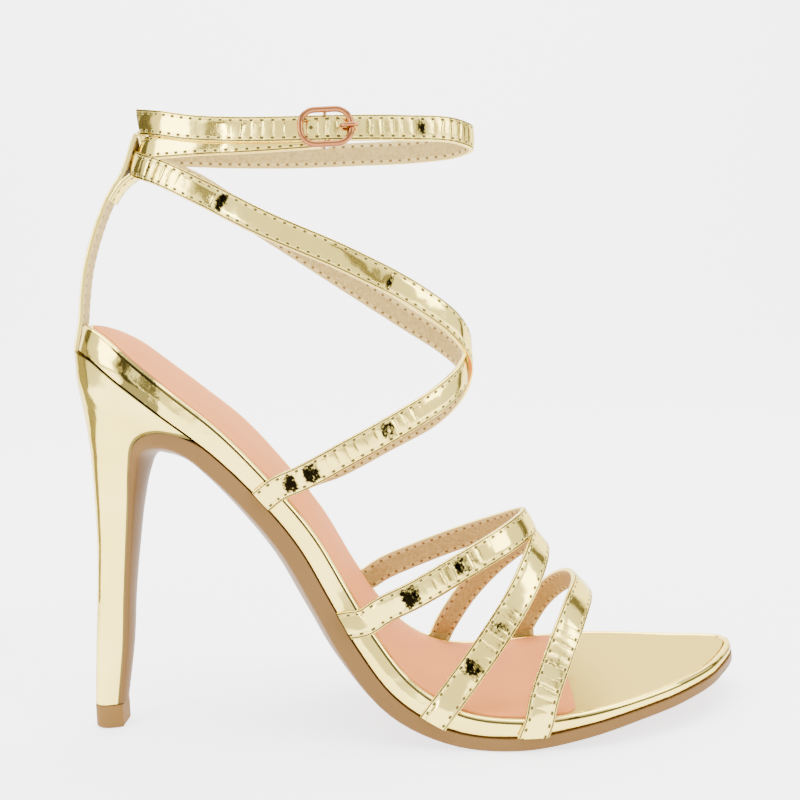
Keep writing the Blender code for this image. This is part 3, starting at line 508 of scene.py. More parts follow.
def form_point(rib, turn):
    """Point on the foot form; turn may run on round the back of a closed rib."""
    turn = (turn + 1) % 2 - 1
    widest = math.pi / 2 * (1 + float(form_value("closure", rib)))
    angle = abs(turn) * widest
    up = (math.cos(angle) - math.cos(widest)) / (1 - math.cos(widest))
    root_x = float(form_value("root_x", rib)) * SHOE_RUN
    root_z = float(form_value("root_z", rib)) * SEAT_HEIGHT
    crest_x = float(form_value("crest_x", rib)) * SHOE_RUN
    crest_z = float(form_value("crest_z", rib)) * SEAT_HEIGHT
    y = math.copysign(float(form_value("half", rib)) * BALL_HALF_WIDTH * math.sin(angle), turn)
    return np.array([root_x + (crest_x - root_x) * up, y, root_z + (crest_z - root_z) * up])


def unit(v):
    return v / np.linalg.norm(v)


def form_normal(rib, turn):
    step = 0.02
    along = form_point(min(rib + step * 3, 11), turn) - form_point(max(rib - step * 3, 0), turn)
    around = form_point(rib, turn + step) - form_point(rib, turn - step)
    return unit(np.cross(around, along))


def wall_normal(share, side):
    along = rim_point(share + SLOPE_STEP, side) - rim_point(share - SLOPE_STEP, side)
    down = rim_point(share, side, depth=0.004) - rim_point(share, side)
    return unit(np.cross(along, down)) * side


def foot_rows(tuck, rim, side):
    """The last two points of a strap: over the rim, then down the wall."""
    depth = float(board_thick(tuck)) - CLEARANCE
    ends = []
    for share, down in ((rim, 0.0), (tuck, depth)):
        ends.append((rim_point(share, side, CLEARANCE, down), wall_normal(share, side)))
    return ends


def strap_stations(rows, first_foot=None, last_foot=None):
    """Points and outward normals along a strap, from its table and its feet."""
    knots = []
    for rib, turn, lift in rows:
        normal = form_normal(rib, turn)
        knots.append((form_point(rib, turn) + normal * (lift - 1) * STRAP_THICK, normal))
    if first_foot:
        knots = foot_rows(*first_foot)[::-1] + knots
    if last_foot:
        knots = knots + foot_rows(*last_foot)
    places = np.array([k[0] for k in knots])
    normals = np.array([k[1] for k in knots])
    return even_stations(places, normals)


def even_stations(places, normals):
    chord = run_along(places)
    fine = np.linspace(0, chord[-1], 600)
    length = run_along(smooth_points(chord, places, fine))
    count = max(4, round(length[-1] / PATH_STEP))
    where = np.interp(np.linspace(0, length[-1], count + 1), length, fine)
    return smooth_points(chord, places, where), smooth_points(chord, normals, where)


def wall_slant(points, normals, foot, end):
    """How far a strap's end leans so that it lies along the footbed's edge."""
    share, side = foot[0], foot[2]
    edge = unit(rim_point(share + SLOPE_STEP, side) - rim_point(share - SLOPE_STEP, side))
    tangent = unit(np.gradient(points, axis=0)[end])
    across = np.cross(tangent, unit(normals[end] - tangent * np.dot(normals[end], tangent)))
    return float(np.dot(edge, tangent) / np.dot(edge, across))


def buckle_frame():
    """Middle of the buckle with its along, across and outward directions."""
    rib, turn = BUCKLE_PLACE
    normal = form_normal(rib, turn)
    along = unit(form_point(rib, turn + 0.01) - form_point(rib, turn - 0.01))
    along = unit(along - normal * np.dot(along, normal))
    across = np.cross(normal, along)
    return form_point(rib, turn), along, across, normal


def place_on_buckle(a, c, h):
    middle, along, across, normal = buckle_frame()
    return middle + along * a + across * c + normal * h


def refined(rings, count):
    """More rings between the given ones, smooth along every line of points."""
    rings = np.array(rings)
    steps = np.linalg.norm(np.diff(rings, axis=0), axis=2).mean(axis=1)
    keys = np.concatenate([[0], np.cumsum(steps)])
    where = np.linspace(0, keys[-1], count)
    result = np.empty((count, *rings.shape[1:]))
    for i in range(rings.shape[1]):
        result[:, i] = smooth_points(keys, rings[:, i], where)
    return [[tuple(p) for p in ring] for ring in result]


def heel_rings():
    reach = lip_point()[0]
    start = TOP_PIECE_HEIGHT + CLEARANCE
    slim = TIP_LENGTH - FLAP_THICK * FLAP_SINK_SHARE
    rings = [heel_ring((-TIP_LENGTH / 2 + TIP_MARGIN, start), (-TIP_LENGTH / 2 + slim, start),
                       TIP_HALF_WIDTH - TIP_MARGIN, TIP_FRONT_SHARE)]
    for back_x, back_z, front_x, front_z, half, front_half in HEEL_ROWS:
        rings.append(heel_ring((back_x * reach, back_z * SEAT_HEIGHT),
                               (front_x * reach, front_z * SEAT_HEIGHT), half * seat_half(), front_half))
    rings.append(seat_ring())
    return refined(rings, HEEL_SECTIONS)


def tread_rings():
    layers = [(0.0, TOP_PIECE_ROUND)]
    for k in range(1, 6):
        angle = math.pi / 2 * k / 5
        layers.append((TOP_PIECE_ROUND * (1 - math.cos(angle)),
                       TOP_PIECE_ROUND * (1 - math.sin(angle))))
    layers.append((TOP_PIECE_HEIGHT - 0.0002, 0.0))
    layers.append((TOP_PIECE_HEIGHT, 0.0002))
    return [heel_ring((-TIP_LENGTH / 2 + inset, z), (TIP_LENGTH / 2 - inset, z),
                      TIP_HALF_WIDTH - inset, TIP_FRONT_SHARE) for z, inset in layers]


def sheet_ring(place, half, edge, crown, sunk=0.0):
    """Section of the sole sheet: flat against the board, rounded at its lower edges."""
    turn = min(SHEET_ROUND, edge * 0.5)
    ring = [place(-1.0, -sunk), place(1.0, -sunk), place(1.0, edge - turn)]
    for k in range(1, 4):
        angle = math.pi / 2 * k / 4
        a = 1 - turn * (1 - math.cos(angle)) / half
        ring.append(place(a, edge + crown * (1 - a * a) - turn * (1 - math.sin(angle))))
    for k in range(15):
        a = (1 - turn / half) * (1 - 2 * k / 14)
        ring.append(place(a, edge + crown * (1 - a * a)))
    for k in range(3, 0, -1):
        angle = math.pi / 2 * k / 4
        a = -1 + turn * (1 - math.cos(angle)) / half
        ring.append(place(a, edge + crown * (1 - a * a) - turn * (1 - math.sin(angle))))
    ring.append(place(-1.0, edge - turn))
    return ring


def outsole_rings():
    """Sections of the sheet: up the heel's breast, round the bend and on to the toe."""
    reach = lip_point()[0]
    start = TOP_PIECE_HEIGHT + CLEARANCE
    rows = [(TIP_LENGTH / 2 - FLAP_THICK * FLAP_SINK_SHARE + CLEARANCE, start,
             TIP_LENGTH / 2 + CLEARANCE * 2, start, TIP_HALF_WIDTH * FLAP_TIP_SHARE)]
    for inner_x, inner_z, outer_x, outer_z, half in FLAP_ROWS:
        rows.append((inner_x * reach + CLEARANCE, inner_z * SEAT_HEIGHT - CLEARANCE,
                     outer_x * reach, outer_z * SEAT_HEIGHT, half * seat_half()))
    flap = []
    for inner_x, inner_z, outer_x, outer_z, half in rows:
        size = math.hypot(outer_x - inner_x, outer_z - inner_z)

        def place(a, depth):
            part = depth / size
            return (inner_x + (outer_x - inner_x) * part, half * a, inner_z + (outer_z - inner_z) * part)

        flap.append(sheet_ring(place, half, FLAP_EDGE_SHARE * size, (1 - FLAP_EDGE_SHARE) * size,
                               FLAP_SUNK))
    sole = []
    first = LIP_SHARE + BEND_SHARE
    last = SOLE_END_SHARE
    for t in spread(SOLE_STATIONS):
        share = np.float64(first + (last - first) * (0.35 * t + 0.65 * math.sin(t * math.pi / 2)))
        half = float(sole_half(share)) + TREAD_MARGIN
        middle = float(sole_middle(share))
        top = float(board_thick(share)) + CLEARANCE

        def place(a, depth):
            x, z = sole_line(share, top + depth)
            return (float(x), middle + half * a, max(float(z), 0.0))

        sole.append(sheet_ring(place, half, float(sole_value("tread", share)) * TREAD_THICK,
                               float(sole_value("crown", share)) * CROWN_HEIGHT))
    bend = refined(flap + sole[:2], BEND_SECTIONS)
    return bend + sole[2:]


def buckle_wires():
    """Middle lines of the frame, the bar and the prong, their radii and whether they close."""
    half_a = BUCKLE_LENGTH / 2 - BUCKLE_WIRE
    half_c = BUCKLE_HEIGHT / 2 - BUCKLE_WIRE
    over = CLEARANCE + BUCKLE_WIRE + FRAME_STAND
    under = -STRAP_THICK - CLEARANCE - BAR_WIRE
    frame_path = []
    for side_a, side_c, start in ((1, 1, 0), (-1, 1, 90), (-1, -1, 180), (1, -1, 270)):
        for k in range(13):
            angle = math.radians(start + 7.5 * k)
            frame_path.append((side_a * (half_a - BUCKLE_CORNER) + BUCKLE_CORNER * math.cos(angle),
                               side_c * (half_c - BUCKLE_CORNER) + BUCKLE_CORNER * math.sin(angle), over))
    clear = ANKLE_WIDTH / 2 + CLEARANCE + BAR_WIRE
    bar_path = ((0.0, half_c, over), (0.0, (half_c + clear) / 2, under * 0.5), (0.0, clear, under),
                (0.0, 0.0, under), (0.0, -clear, under), (0.0, -(half_c + clear) / 2, under * 0.5),
                (0.0, -half_c, over))
    top = over + BUCKLE_WIRE + BAR_WIRE * 0.5
    prong_path = ((0.0, 0.0, under), (HOLE_REACH - PRONG_SLANT, 0.0, under), (HOLE_REACH, 0.0, under * 0.35),
                  (HOLE_REACH + PRONG_SLANT, 0.0, top * 0.75), (half_a - PRONG_SLANT, 0.0, top),
                  (half_a + BAR_WIRE, 0.0, top), (half_a + BUCKLE_WIRE * 2, 0.0, top - BAR_WIRE))
    return ((frame_path, BUCKLE_WIRE, True), (bar_path, BAR_WIRE, False), (prong_path, BAR_WIRE, False))


def wire_skin(bm, path, radius, loop):
    places = np.array([place_on_buckle(*p) for p in path])
    if loop:
        ahead = np.roll(places, -1, axis=0)
        behind = np.roll(places, 1, axis=0)
        tangents = ahead - behind
    else:
        chord = run_along(places)
        places = smooth_points(chord, places, np.linspace(0, chord[-1], WIRE_STATIONS))
        tangents = np.gradient(places, axis=0)
    _, _, across, normal = buckle_frame()
    circle = [math.tau * k / WIRE_SIDES for k in range(WIRE_SIDES)]
    rings = []
    for place, tangent in zip(places, tangents):
        tangent = unit(tangent)
        if loop or abs(np.dot(tangent, across)) > 0.5:
            side = unit(np.cross(tangent, normal))
        else:
            side = unit(across - tangent * np.dot(tangent, across))
        up = np.cross(side, tangent)
        rings.append([tuple(place + radius * (side * math.cos(a) + up * math.sin(a))) for a in circle])
    add_skin(bm, rings, "flat", loop=loop)


# Studio

PAPER_HALF = 2.5
PAPER_FRONT = -1.5
PAPER_BACK = 1.6
PAPER_TURN = 0.6
PAPER_TOP = 3.0
ACRYLIC_GLOW = 3.9
ROOM_LIGHT = 2.3

# Cards that only the foil shows, as dark reflections. Columns: name, middle, width,
# height, shade and the x that the card faces.
DARK_CARDS = (
    ("left_dark_card", (-0.88, 0.30, 0.4), 0.42, 1.6, "2A271F", 0.09),
    ("heel_flag", (-0.150, 0.050, 0.085), 0.075, 0.165, "6E6A5C", 0.0),
    ("right_dark_card", (1.10, 0.40, 0.4), 0.22, 1.6, "2A271F", 0.09),
    ("front_left_card", (-0.75, -1.15, 0.5), 0.30, 1.4, "4A463A", 0.09),
    ("front_right_card", (0.62, -1.30, 0.5), 0.22, 1.4, "4A463A", 0.09),
)
# Columns: name, place, target, width and height, watts
SOFT_LIGHTS = (
    ("overhead_softbox", (0.1, -0.1, 1.5), (0.1, 0.0, 0.0), (1.6, 1.2), 40.0),
    ("left_softbox", (-1.2, -0.7, 0.7), (0.1, 0.0, 0.08), (0.7, 1.1), 24.0),
    ("right_softbox", (1.3, -0.6, 0.8), (0.1, 0.0, 0.06), (0.7, 1.1), 22.0),
    ("front_strip_light", (-0.60, -1.15, 0.35), (0.05, 0.0, 0.08), (0.05, 0.9), 4.0),
    ("backdrop_wash", (0.1, 0.5, 1.6), (0.1, 1.6, 0.5), (2.2, 0.6), 46.0),
)


def build_sweep(colours):
    """Paper sweep: a strip of edges extruded along the floor and up the wall."""
    bm = bmesh.new()
    ends = [bm.verts.new((side * PAPER_HALF, PAPER_FRONT, 0.0)) for side in (-1, 1)]
    edges = [bm.edges.new(ends)]
    path = [(PAPER_BACK - PAPER_TURN, 0.0)]
    for k in range(1, 17):
        angle = math.pi / 2 * k / 16
        path.append((PAPER_BACK - PAPER_TURN + PAPER_TURN * math.sin(angle),
                     PAPER_TURN * (1 - math.cos(angle))))
    path.append((PAPER_BACK, PAPER_TOP))
    for y, z in path:
        made = bmesh.ops.extrude_edge_only(bm, edges=edges)["geom"]
        for v in made:
            if isinstance(v, bmesh.types.BMVert):
                v.co.y = y
                v.co.z = z
        edges = [e for e in made if isinstance(e, bmesh.types.BMEdge) and all(v in made for v in e.verts)]
    sweep = finished("paper_sweep", bm)
    # White acrylic table lit from below, as product pictures use: even, pale, faint shadow
    material, tree, shader = new_material("lit_white_acrylic")
    shader.inputs["Base Color"].default_value = linear(colours.studio_hex)
    shader.inputs["Emission Color"].default_value = linear(colours.studio_hex)
    shader.inputs["Emission Strength"].default_value = ACRYLIC_GLOW
    shader.inputs["Roughness"].default_value = 0.8
    feed(tree, shader.inputs["Normal"], ripple(tree, 900.0, 2.0, 0.00005, 0.15))
    sweep.data.materials.append(material)


def soft_light(name, place, target, size, power):
    light = bpy.data.lights.new(name, "AREA")
    light.shape = "RECTANGLE"
    light.size = size[0]
    light.size_y = size[1]
    light.energy = power
    obj = bpy.data.objects.new(name, light)
    obj.location = place
    obj.rotation_euler = (Vector(target) - Vector(place)).to_track_quat("-Z", "Y").to_euler()
    bpy.context.scene.collection.objects.link(obj)


def dark_card(name, middle, width, height, shade, target):
    """Upright card that faces the shoe and that the camera doesn't see."""
    bm = bmesh.new()
    facing = Vector((target, 0.0, middle[2])) - Vector(middle)
    turn = facing.to_track_quat("Z", "Y").to_matrix().to_4x4()
    grown = Matrix.Diagonal((width, height, 1.0, 1.0))
    bmesh.ops.create_grid(bm, x_segments=1, y_segments=1, size=0.5,
                          matrix=Matrix.Translation(middle) @ turn @ grown)
    card = finished(name, bm)
    # Matt black foam board
    material, _, shader = new_material(name + "_foam_board")
    shader.inputs["Base Color"].default_value = linear(shade)
    shader.inputs["Roughness"].default_value = 0.9
    card.data.materials.append(material)
    card.visible_camera = False


def build_lights():
    for row in DARK_CARDS:
        dark_card(*row)
    world = bpy.data.worlds.new("pale_room")
    world.use_nodes = True
    background = world.node_tree.nodes["Background"]
    background.inputs["Color"].default_value = linear("F4F3F3")
    background.inputs["Strength"].default_value = ROOM_LIGHT
    bpy.context.scene.world = world
    for row in SOFT_LIGHTS:
        soft_light(*row)


# The camera stands level with the heel, 0.28 m to the shoe's outer side
CAMERA_PLACE = (0.0873, -0.2844, 0.1100)
CAMERA_YAW = -1.02
CAMERA_PITCH = 3.03
CAMERA_ROLL = -2.58
CAMERA_LENS = 42.345


def build_camera():
    yaw = math.radians(CAMERA_YAW)
    pitch = math.radians(CAMERA_PITCH)
    roll = math.radians(CAMERA_ROLL)
    forward = Vector((-math.sin(yaw) * math.cos(pitch), math.cos(yaw) * math.cos(pitch), -math.sin(pitch)))
    right = Vector((math.cos(yaw), math.sin(yaw), 0.0))
    up = right.cross(forward)
    tilted_right = right * math.cos(roll) + up * math.sin(roll)
    tilted_up = up * math.cos(roll) - right * math.sin(roll)
    camera = bpy.data.cameras.new("camera")
    camera.lens = CAMERA_LENS
    camera.sensor_width = 36.0
    camera.clip_start = 0.01
    obj = bpy.data.objects.new("camera", camera)
    turn = Matrix((tilted_right, tilted_up, -forward)).transposed()
    obj.matrix_world = Matrix.Translation(CAMERA_PLACE) @ turn.to_4x4()
    bpy.context.scene.collection.objects.link(obj)
    bpy.context.scene.camera = obj


# Creases worn into the foil, with painted dark reflections in their folds. Each row: millimetres
# along the strap from its first foot, half length of the patch in mm, how deep the ridges
# are and how dark the painted reflection in the folds is.
CREASES = {
    "rear_vamp": ((20.7, 3.0, 0.6, 1.0), (37.0, 2.6, 0.8, 0.8), (42.0, 2.0, 0.8, 0.45),
                  (31.0, 3.0, 0.7, 0.0)),
    "middle_vamp": ((18.3, 2.4, 0.7, 0.95), (31.0, 2.2, 0.9, 0.7), (36.0, 2.0, 0.8, 0.45),
                    (26.0, 3.0, 0.7, 0.0)),
    "toe_strap": ((20.5, 2.6, 1.0, 0.5), (26.0, 4.0, 0.7, 0.0), (13.0, 4.0, 0.9, 0.0)),
    "outer_cross": ((10.2, 2.5, 0.5, 1.05), (16.8, 2.5, 0.6, 1.1), (26.0, 5.0, 0.8, 0.0),
                    (40.6, 2.6, 0.9, 0.85), (46.0, 4.0, 0.8, 0.0)),
    "inner_cross": ((122.0, 1.0, 0.5, 0.85), (173.0, 1.8, 0.5, 0.95), (195.5, 5.0, 1.0, 0.0),
                    (199.0, 0.9, 0.5, 0.55), (338.0, 9.0, 1.0, 0.0), (347.0, 1.3, 0.6, 0.9),
                    (357.0, 8.0, 1.0, 0.0), (375.0, 6.0, 0.9, 0.0), (391.0, 5.0, 1.0, 0.0)),
    # The riser's foot is painted dark, as shade where it goes in behind the seat
    "riser": ((0.0, 0.5, 0.0, 1.4),),
}


def linear(hex_colour):
    """sRGB hex text to the linear numbers that a shader takes."""
    values = []
    for i in (0, 2, 4):
        c = int(hex_colour[i:i + 2], 16) / 255
        values.append(c / 12.92 if c <= 0.04045 else ((c + 0.055) / 1.055) ** 2.4)
    return (*values, 1.0)


def skinned(name, rings, caps, places=None, creases=None, *, sharp):
    """A piece made of one skin."""
    bm = bmesh.new()
    add_skin(bm, rings, caps, places, creases)
    return finished(name, bm, sharp)


def add_skin(bm, rings, caps, places=None, creases=None, loop=False):
    """Draws the first ring, extrudes it from station to station and closes the ends.

    places and creases are notes for the material, three numbers for each point; creases hold ridges and the
    darkness of painted reflections.
    """
    vectors = bm.verts.layers.float_vector
    for key in ("place", "crease"):
        if key not in vectors:
            vectors.new(key)
    # Asked for after both are made, because a new layer moves the others
    notes = ((vectors["place"], places), (vectors["crease"], creases))
    verts = [bm.verts.new(p) for p in rings[0]]
    count = len(verts)
    edges = [bm.edges.new((verts[i], verts[(i + 1) % count])) for i in range(count)]
    first = list(edges)
    stations = [verts]
    for ring in rings[1:]:
        made = bmesh.ops.extrude_edge_only(bm, edges=edges)["geom"]
        index = {v: i for i, v in enumerate(verts)}
        fresh = [None] * count
        for v in made:
            if isinstance(v, bmesh.types.BMVert):
                for e in v.link_edges:
                    i = index.get(e.other_vert(v))
                    if i is not None:
                        fresh[i] = v
        new = set(fresh)
        edges = [e for e in made if isinstance(e, bmesh.types.BMEdge) and all(v in new for v in e.verts)]
        for v, p in zip(fresh, ring):
            v.co = p
        verts = fresh
        stations.append(verts)
    for layer, rows in notes:
        for row, values in zip(stations, rows or ()):
            for v, value in zip(row, values):
                v[layer] = value
    if loop:
        bmesh.ops.bridge_loops(bm, edges=first + edges)
    elif caps == "flat":
        bm.faces.new(stations[0])
        bm.faces.new(stations[-1])
    elif caps == "pairs":
        for row in (stations[0], stations[-1]):
            for i in range(count // 2):
                corners = []
                for v in (row[i], row[i + 1], row[count - i - 1], row[(count - i) % count]):
                    if v not in corners:
                        corners.append(v)
                if len(corners) > 2:
                    bm.faces.new(corners)


def finished(name, bm, sharp=50.0):
    """Makes an object of the mesh, shaded smooth but for edges sharper than the angle."""
    bmesh.ops.recalc_face_normals(bm, faces=bm.faces)
    for face in bm.faces:
        face.smooth = True
    for edge in bm.edges:
        edge.smooth = edge.calc_face_angle(0.0) < math.radians(sharp)
    mesh = bpy.data.meshes.new(name)
    bm.to_mesh(mesh)
    bm.free()
    obj = bpy.data.objects.new(name, mesh)
    bpy.context.scene.collection.objects.link(obj)
    return obj


def dress(obj, material, slot, *nodes):
    obj.data.materials.append(material)
    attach(obj, "root")
    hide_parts(*nodes)


# Materials

FOIL_GLOSS = 0.12            # roughness of the mirror foil


def feed(tree, socket, value):
    """Links a node's output to a socket, or sets the socket to a plain value."""
    if isinstance(value, bpy.types.NodeSocket):
        tree.links.new(value, socket)
    elif value is not None:
        socket.default_value = value


def node(tree, kind, settings=None, **links):
    """Adds a node, sets its properties and feeds its sockets; i0 is the first socket."""
    made = tree.nodes.new(kind)
    for key, value in (settings or {}).items():
        setattr(made, key, value)
    for key, value in links.items():
        numbered = key[0] == "i" and key[1:].isdigit()
        feed(tree, made.inputs[int(key[1:]) if numbered else key.replace("_", " ")], value)
    return made


def new_material(name):
    material = bpy.data.materials.new(name)
    material.use_nodes = True
    tree = material.node_tree
    return material, tree, tree.nodes["Principled BSDF"]


def maths(tree, operation, a, b=0.0):
    return node(tree, "ShaderNodeMath", {"operation": operation}, i0=a, i1=b).outputs[0]


def plus(tree, a, b):
    return maths(tree, "ADD", a, b)


def minus(tree, a, b):
    return maths(tree, "SUBTRACT", a, b)


def times(tree, a, b):
    return maths(tree, "MULTIPLY", a, b)


def ranged(tree, value, low, high, first=0.0, last=1.0, kind="LINEAR"):
    """first where value is low, last where it is high, and nothing beyond them."""
    return node(tree, "ShaderNodeMapRange", {"interpolation_type": kind}, Value=value, From_Min=low,
                From_Max=high, To_Min=first, To_Max=last).outputs["Result"]


def near(tree, value, centre, reach, soft):
    """1 where value is within reach of centre, falling to 0 over soft."""
    away = maths(tree, "ABSOLUTE", minus(tree, value, centre))
    return ranged(tree, away, reach, reach + soft, 1.0, 0.0, "SMOOTHSTEP")


def mixed(tree, factor, a, b):
    made = node(tree, "ShaderNodeMix", {"data_type": "RGBA"}, Factor=factor, i6=a, i7=b)
    return made.outputs[2]


def object_place(tree):
    return node(tree, "ShaderNodeTexCoord").outputs["Object"]


def noise(tree, where, scale, detail, roughness=0.5):
    """Noise from 0 to 1; scale is features per metre."""
    return node(tree, "ShaderNodeTexNoise", Vector=where, Scale=scale, Detail=detail,
                Roughness=roughness).outputs["Fac"]


def bumped(tree, height, distance, strength, normal=None):
    return node(tree, "ShaderNodeBump", Height=height, Distance=distance, Strength=strength,
                Normal=normal).outputs["Normal"]


def ripple(tree, scale, detail, distance, strength, normal=None):
    """Bump from noise on Object coordinates."""
    return bumped(tree, noise(tree, object_place(tree), scale, detail), distance, strength, normal)


def noted(tree, name):
    """The three numbers that a piece's mesh carries under a name."""
    vector = node(tree, "ShaderNodeAttribute", {"attribute_name": name}).outputs["Vector"]
    return node(tree, "ShaderNodeSeparateXYZ", Vector=vector).outputs


def beat(tree, along, pitch):
    """How far through its stitch a place lies, from 0 to 1; the needle hole is at 0.5."""
    return maths(tree, "FRACT", maths(tree, "DIVIDE", along, pitch))


def foil_leather(name, colours, worn_by):
    """PU leather with a mirror foil: metal reflections broken by soft waves and creases.

    The coat is metallised film on a soft backing, so it mirrors like metal but never
    lies quite flat. Straps add rows of needle holes painted dark as shade, thread, folds
    with painted dark reflections, a painted dark reflection along each folded edge and a
    lining. The footbed's cover adds painted dark reflections of a knock and of the line
    where it turns over the rim, and is duller under the toes. The heel's cover adds
    painted shade along its cut edge and its seam.
    """
    material, tree, shader = new_material(name)
    shader.inputs["Metallic"].default_value = 1.0
    shader.inputs["Roughness"].default_value = FOIL_GLOSS
    shader.inputs["Specular IOR Level"].default_value = 0.06
    # The film's lacquer takes light from the grazing reflection
    shader.inputs["Specular Tint"].default_value = linear(colours.glance_hex)
    # Soft waves about 8 mm apart, and finer ones about 2 mm apart
    normal = ripple(tree, 120.0, 1.0, 0.0010, 0.35)
    normal = ripple(tree, 450.0, 2.0, 0.00014, 0.25, normal)
    where = object_place(tree)
    tone = ranged(tree, noise(tree, where, 60.0, 1.0), 0.3, 0.7)
    colour = mixed(tree, tone, linear(colours.gold_hex), linear(colours.gold_deep_hex))
    # On a strap, in mm: along it, in from its edge and up from its inner face. On the
    # footbed's cover edge is 1 where the painted rim line shows, and height counts round the
    # rim. On the heel's cover along is the distance from the seat, and height runs from
    # the back to the breast.
    along, edge, height = noted(tree, "place")
    # The crease note: its ridge, and how dark its painted reflection is
    ridge, dark, _ = noted(tree, "crease")
    grain = noise(tree, where, 620.0, 5.0, 0.72)
    if worn_by == "strap":
        # Painted reflections in the folds grow weaker towards the stitch rows
        dark = times(tree, dark, ranged(tree, edge, 1.2, 3.2, 0.7))
    # Grain frays the outline of each painted dark reflection
    ragged = 1.5 if worn_by == "board" else 2.2
    painted_reflection = plus(tree, dark, times(tree, minus(tree, grain, 0.5), ragged))
    painted_reflection = times(tree, painted_reflection, maths(tree, "GREATER_THAN", dark, 0.08))
    painted_reflection = ranged(tree, painted_reflection, 0.36, 0.8, kind="SMOOTHSTEP")
    if worn_by == "strap":
        sizes = bpy.context.scene.sandal_sizes
        inset = sizes.stitch_inset / MM
        pitch = sizes.stitch_pitch / MM
        # Each stitch pulls a valley across the strap where it is worn; wobble bends it
        wobble = noise(tree, where, 320.0, 2.0)
        bent = plus(tree, along, times(tree, minus(tree, wobble, 0.5), 1.1))
        valley = near(tree, beat(tree, bent, pitch), 0.5, 0.03, 0.2)
        pleat = times(tree, minus(tree, 1.0, valley), ridge)
        normal = bumped(tree, pleat, 0.00022, 0.8, normal)
        crumple = times(tree, grain, times(tree, ridge, ridge))
        normal = bumped(tree, crumple, 0.00030, 0.45, normal)
        # Painted dark reflections in the folds, between the stitch rows
        painted_reflection = times(tree, painted_reflection, near(tree, edge, 10.0, 10.0 - inset - 0.15, 0.35))
        colour = mixed(tree, painted_reflection, colour, linear(colours.painted_dark_reflection_hex))
        # Needle holes pulled to about 0.9 mm along the row, with painted shade in them, and the thread
        # between them
        hole = near(tree, beat(tree, along, pitch), 0.5, 0.12, 0.07)
        pierced = times(tree, near(tree, edge, inset, 0.24, 0.18), hole)
        thread = times(tree, near(tree, edge, inset, 0.12, 0.14), minus(tree, 1.0, hole))
        colour = mixed(tree, times(tree, thread, 0.25), colour, linear(colours.thread_hex))
        # The spare hole for the prong, 1 mm wide, painted dark as shade
        aside = maths(tree, "POWER", minus(tree, ANKLE_WIDTH / 2 / MM, edge), 2.0)
        ahead = maths(tree, "POWER", maths(tree, "ABSOLUTE", minus(tree, along, SPARE_HOLE_ALONG)), 2.0)
        punched = near(tree, maths(tree, "SQRT", plus(tree, aside, ahead)), 0.0, 0.5, 0.15)
        holes = maths(tree, "MAXIMUM", pierced, punched)
        colour = mixed(tree, times(tree, holes, 0.93), colour, linear(colours.stitch_hole_shade_hex))
        # A painted dark reflection shows the folded edge as a thin line
        line = near(tree, edge, 0.42, 0.12, 0.13)
        colour = mixed(tree, times(tree, line, 0.9), colour, linear(colours.painted_dark_line_hex))
        relief = minus(tree, times(tree, thread, 0.3), plus(tree, pierced, line))
        normal = bumped(tree, relief, 0.00025, 0.7, normal)
        # The lining shows on the inner face, framed by the foil turned over the edge
        under = maths(tree, "LESS_THAN", height, 0.12)
        nap = ranged(tree, noise(tree, where, 1100.0, 3.0), 0.25, 0.75)
        lining = mixed(tree, nap, linear(colours.lining_hex), linear(colours.lining_deep_hex))
        hem = maths(tree, "LESS_THAN", edge, plus(tree, inset, 0.35))
        lining = mixed(tree, times(tree, hem, 0.5), lining, linear(colours.hem_hex))
        # Painted shade in the holes through the lining
        lining = mixed(tree, times(tree, holes, 0.85), lining, linear(colours.lining_hole_shade_hex))
        colour = mixed(tree, under, colour, lining)
        plain = maths(tree, "MAXIMUM", under, times(tree, holes, 0.9))
        feed(tree, shader.inputs["Metallic"], minus(tree, 1.0, plain))
        feed(tree, shader.inputs["Roughness"], plus(tree, FOIL_GLOSS, times(tree, plain, 0.42)))
    if worn_by == "board":
        # Near the seat a knock in the cover is painted in as a dark reflection
        colour = mixed(tree, times(tree, painted_reflection, 0.88), colour, linear(colours.painted_dark_reflection_hex))
        # A painted dark reflection along the line where the cover turns over the rim
        line = times(tree, near(tree, height, 1.0, 0.12, 0.1), edge)
        colour = mixed(tree, times(tree, line, 0.9), colour, linear(colours.painted_dark_line_hex))
        # The bed under the toes is duller
        bed = maths(tree, "GREATER_THAN", height, 2.5)
        colour = mixed(tree, bed, colour, linear(colours.bed_hex))
        feed(tree, shader.inputs["Roughness"], plus(tree, FOIL_GLOSS, times(tree, bed, 0.32)))
    if worn_by == "heel":
        # Painted shade as thin lines: along the cover's cut edge at the breast, and at the seam under the
        # seat
        line = maths(tree, "MAXIMUM", near(tree, height, 1.0, 0.035, 0.02), near(tree, along, 0.0, 0.15, 0.3))
        colour = mixed(tree, times(tree, line, 0.85), colour, linear(colours.painted_dark_line_hex))
    feed(tree, shader.inputs["Base Color"], colour)
    feed(tree, shader.inputs["Normal"], normal)
    return material


def soft_lining(name, colours):
    """Microfibre sock: short nap, no gloss, a little mottled from pressing."""
    material, tree, shader = new_material(name)
    mottle = noise(tree, object_place(tree), 45.0, 3.0)
    colour = mixed(tree, mottle, linear(colours.sock_hex), linear(colours.sock_deep_hex))
    feed(tree, shader.inputs["Base Color"], colour)
    # Nap fibres lie about half a millimetre apart
    feed(tree, shader.inputs["Normal"], ripple(tree, 2200.0, 2.0, 0.00004, 0.4))
    shader.inputs["Roughness"].default_value = 0.75
    shader.inputs["Specular IOR Level"].default_value = 0.05
    return material


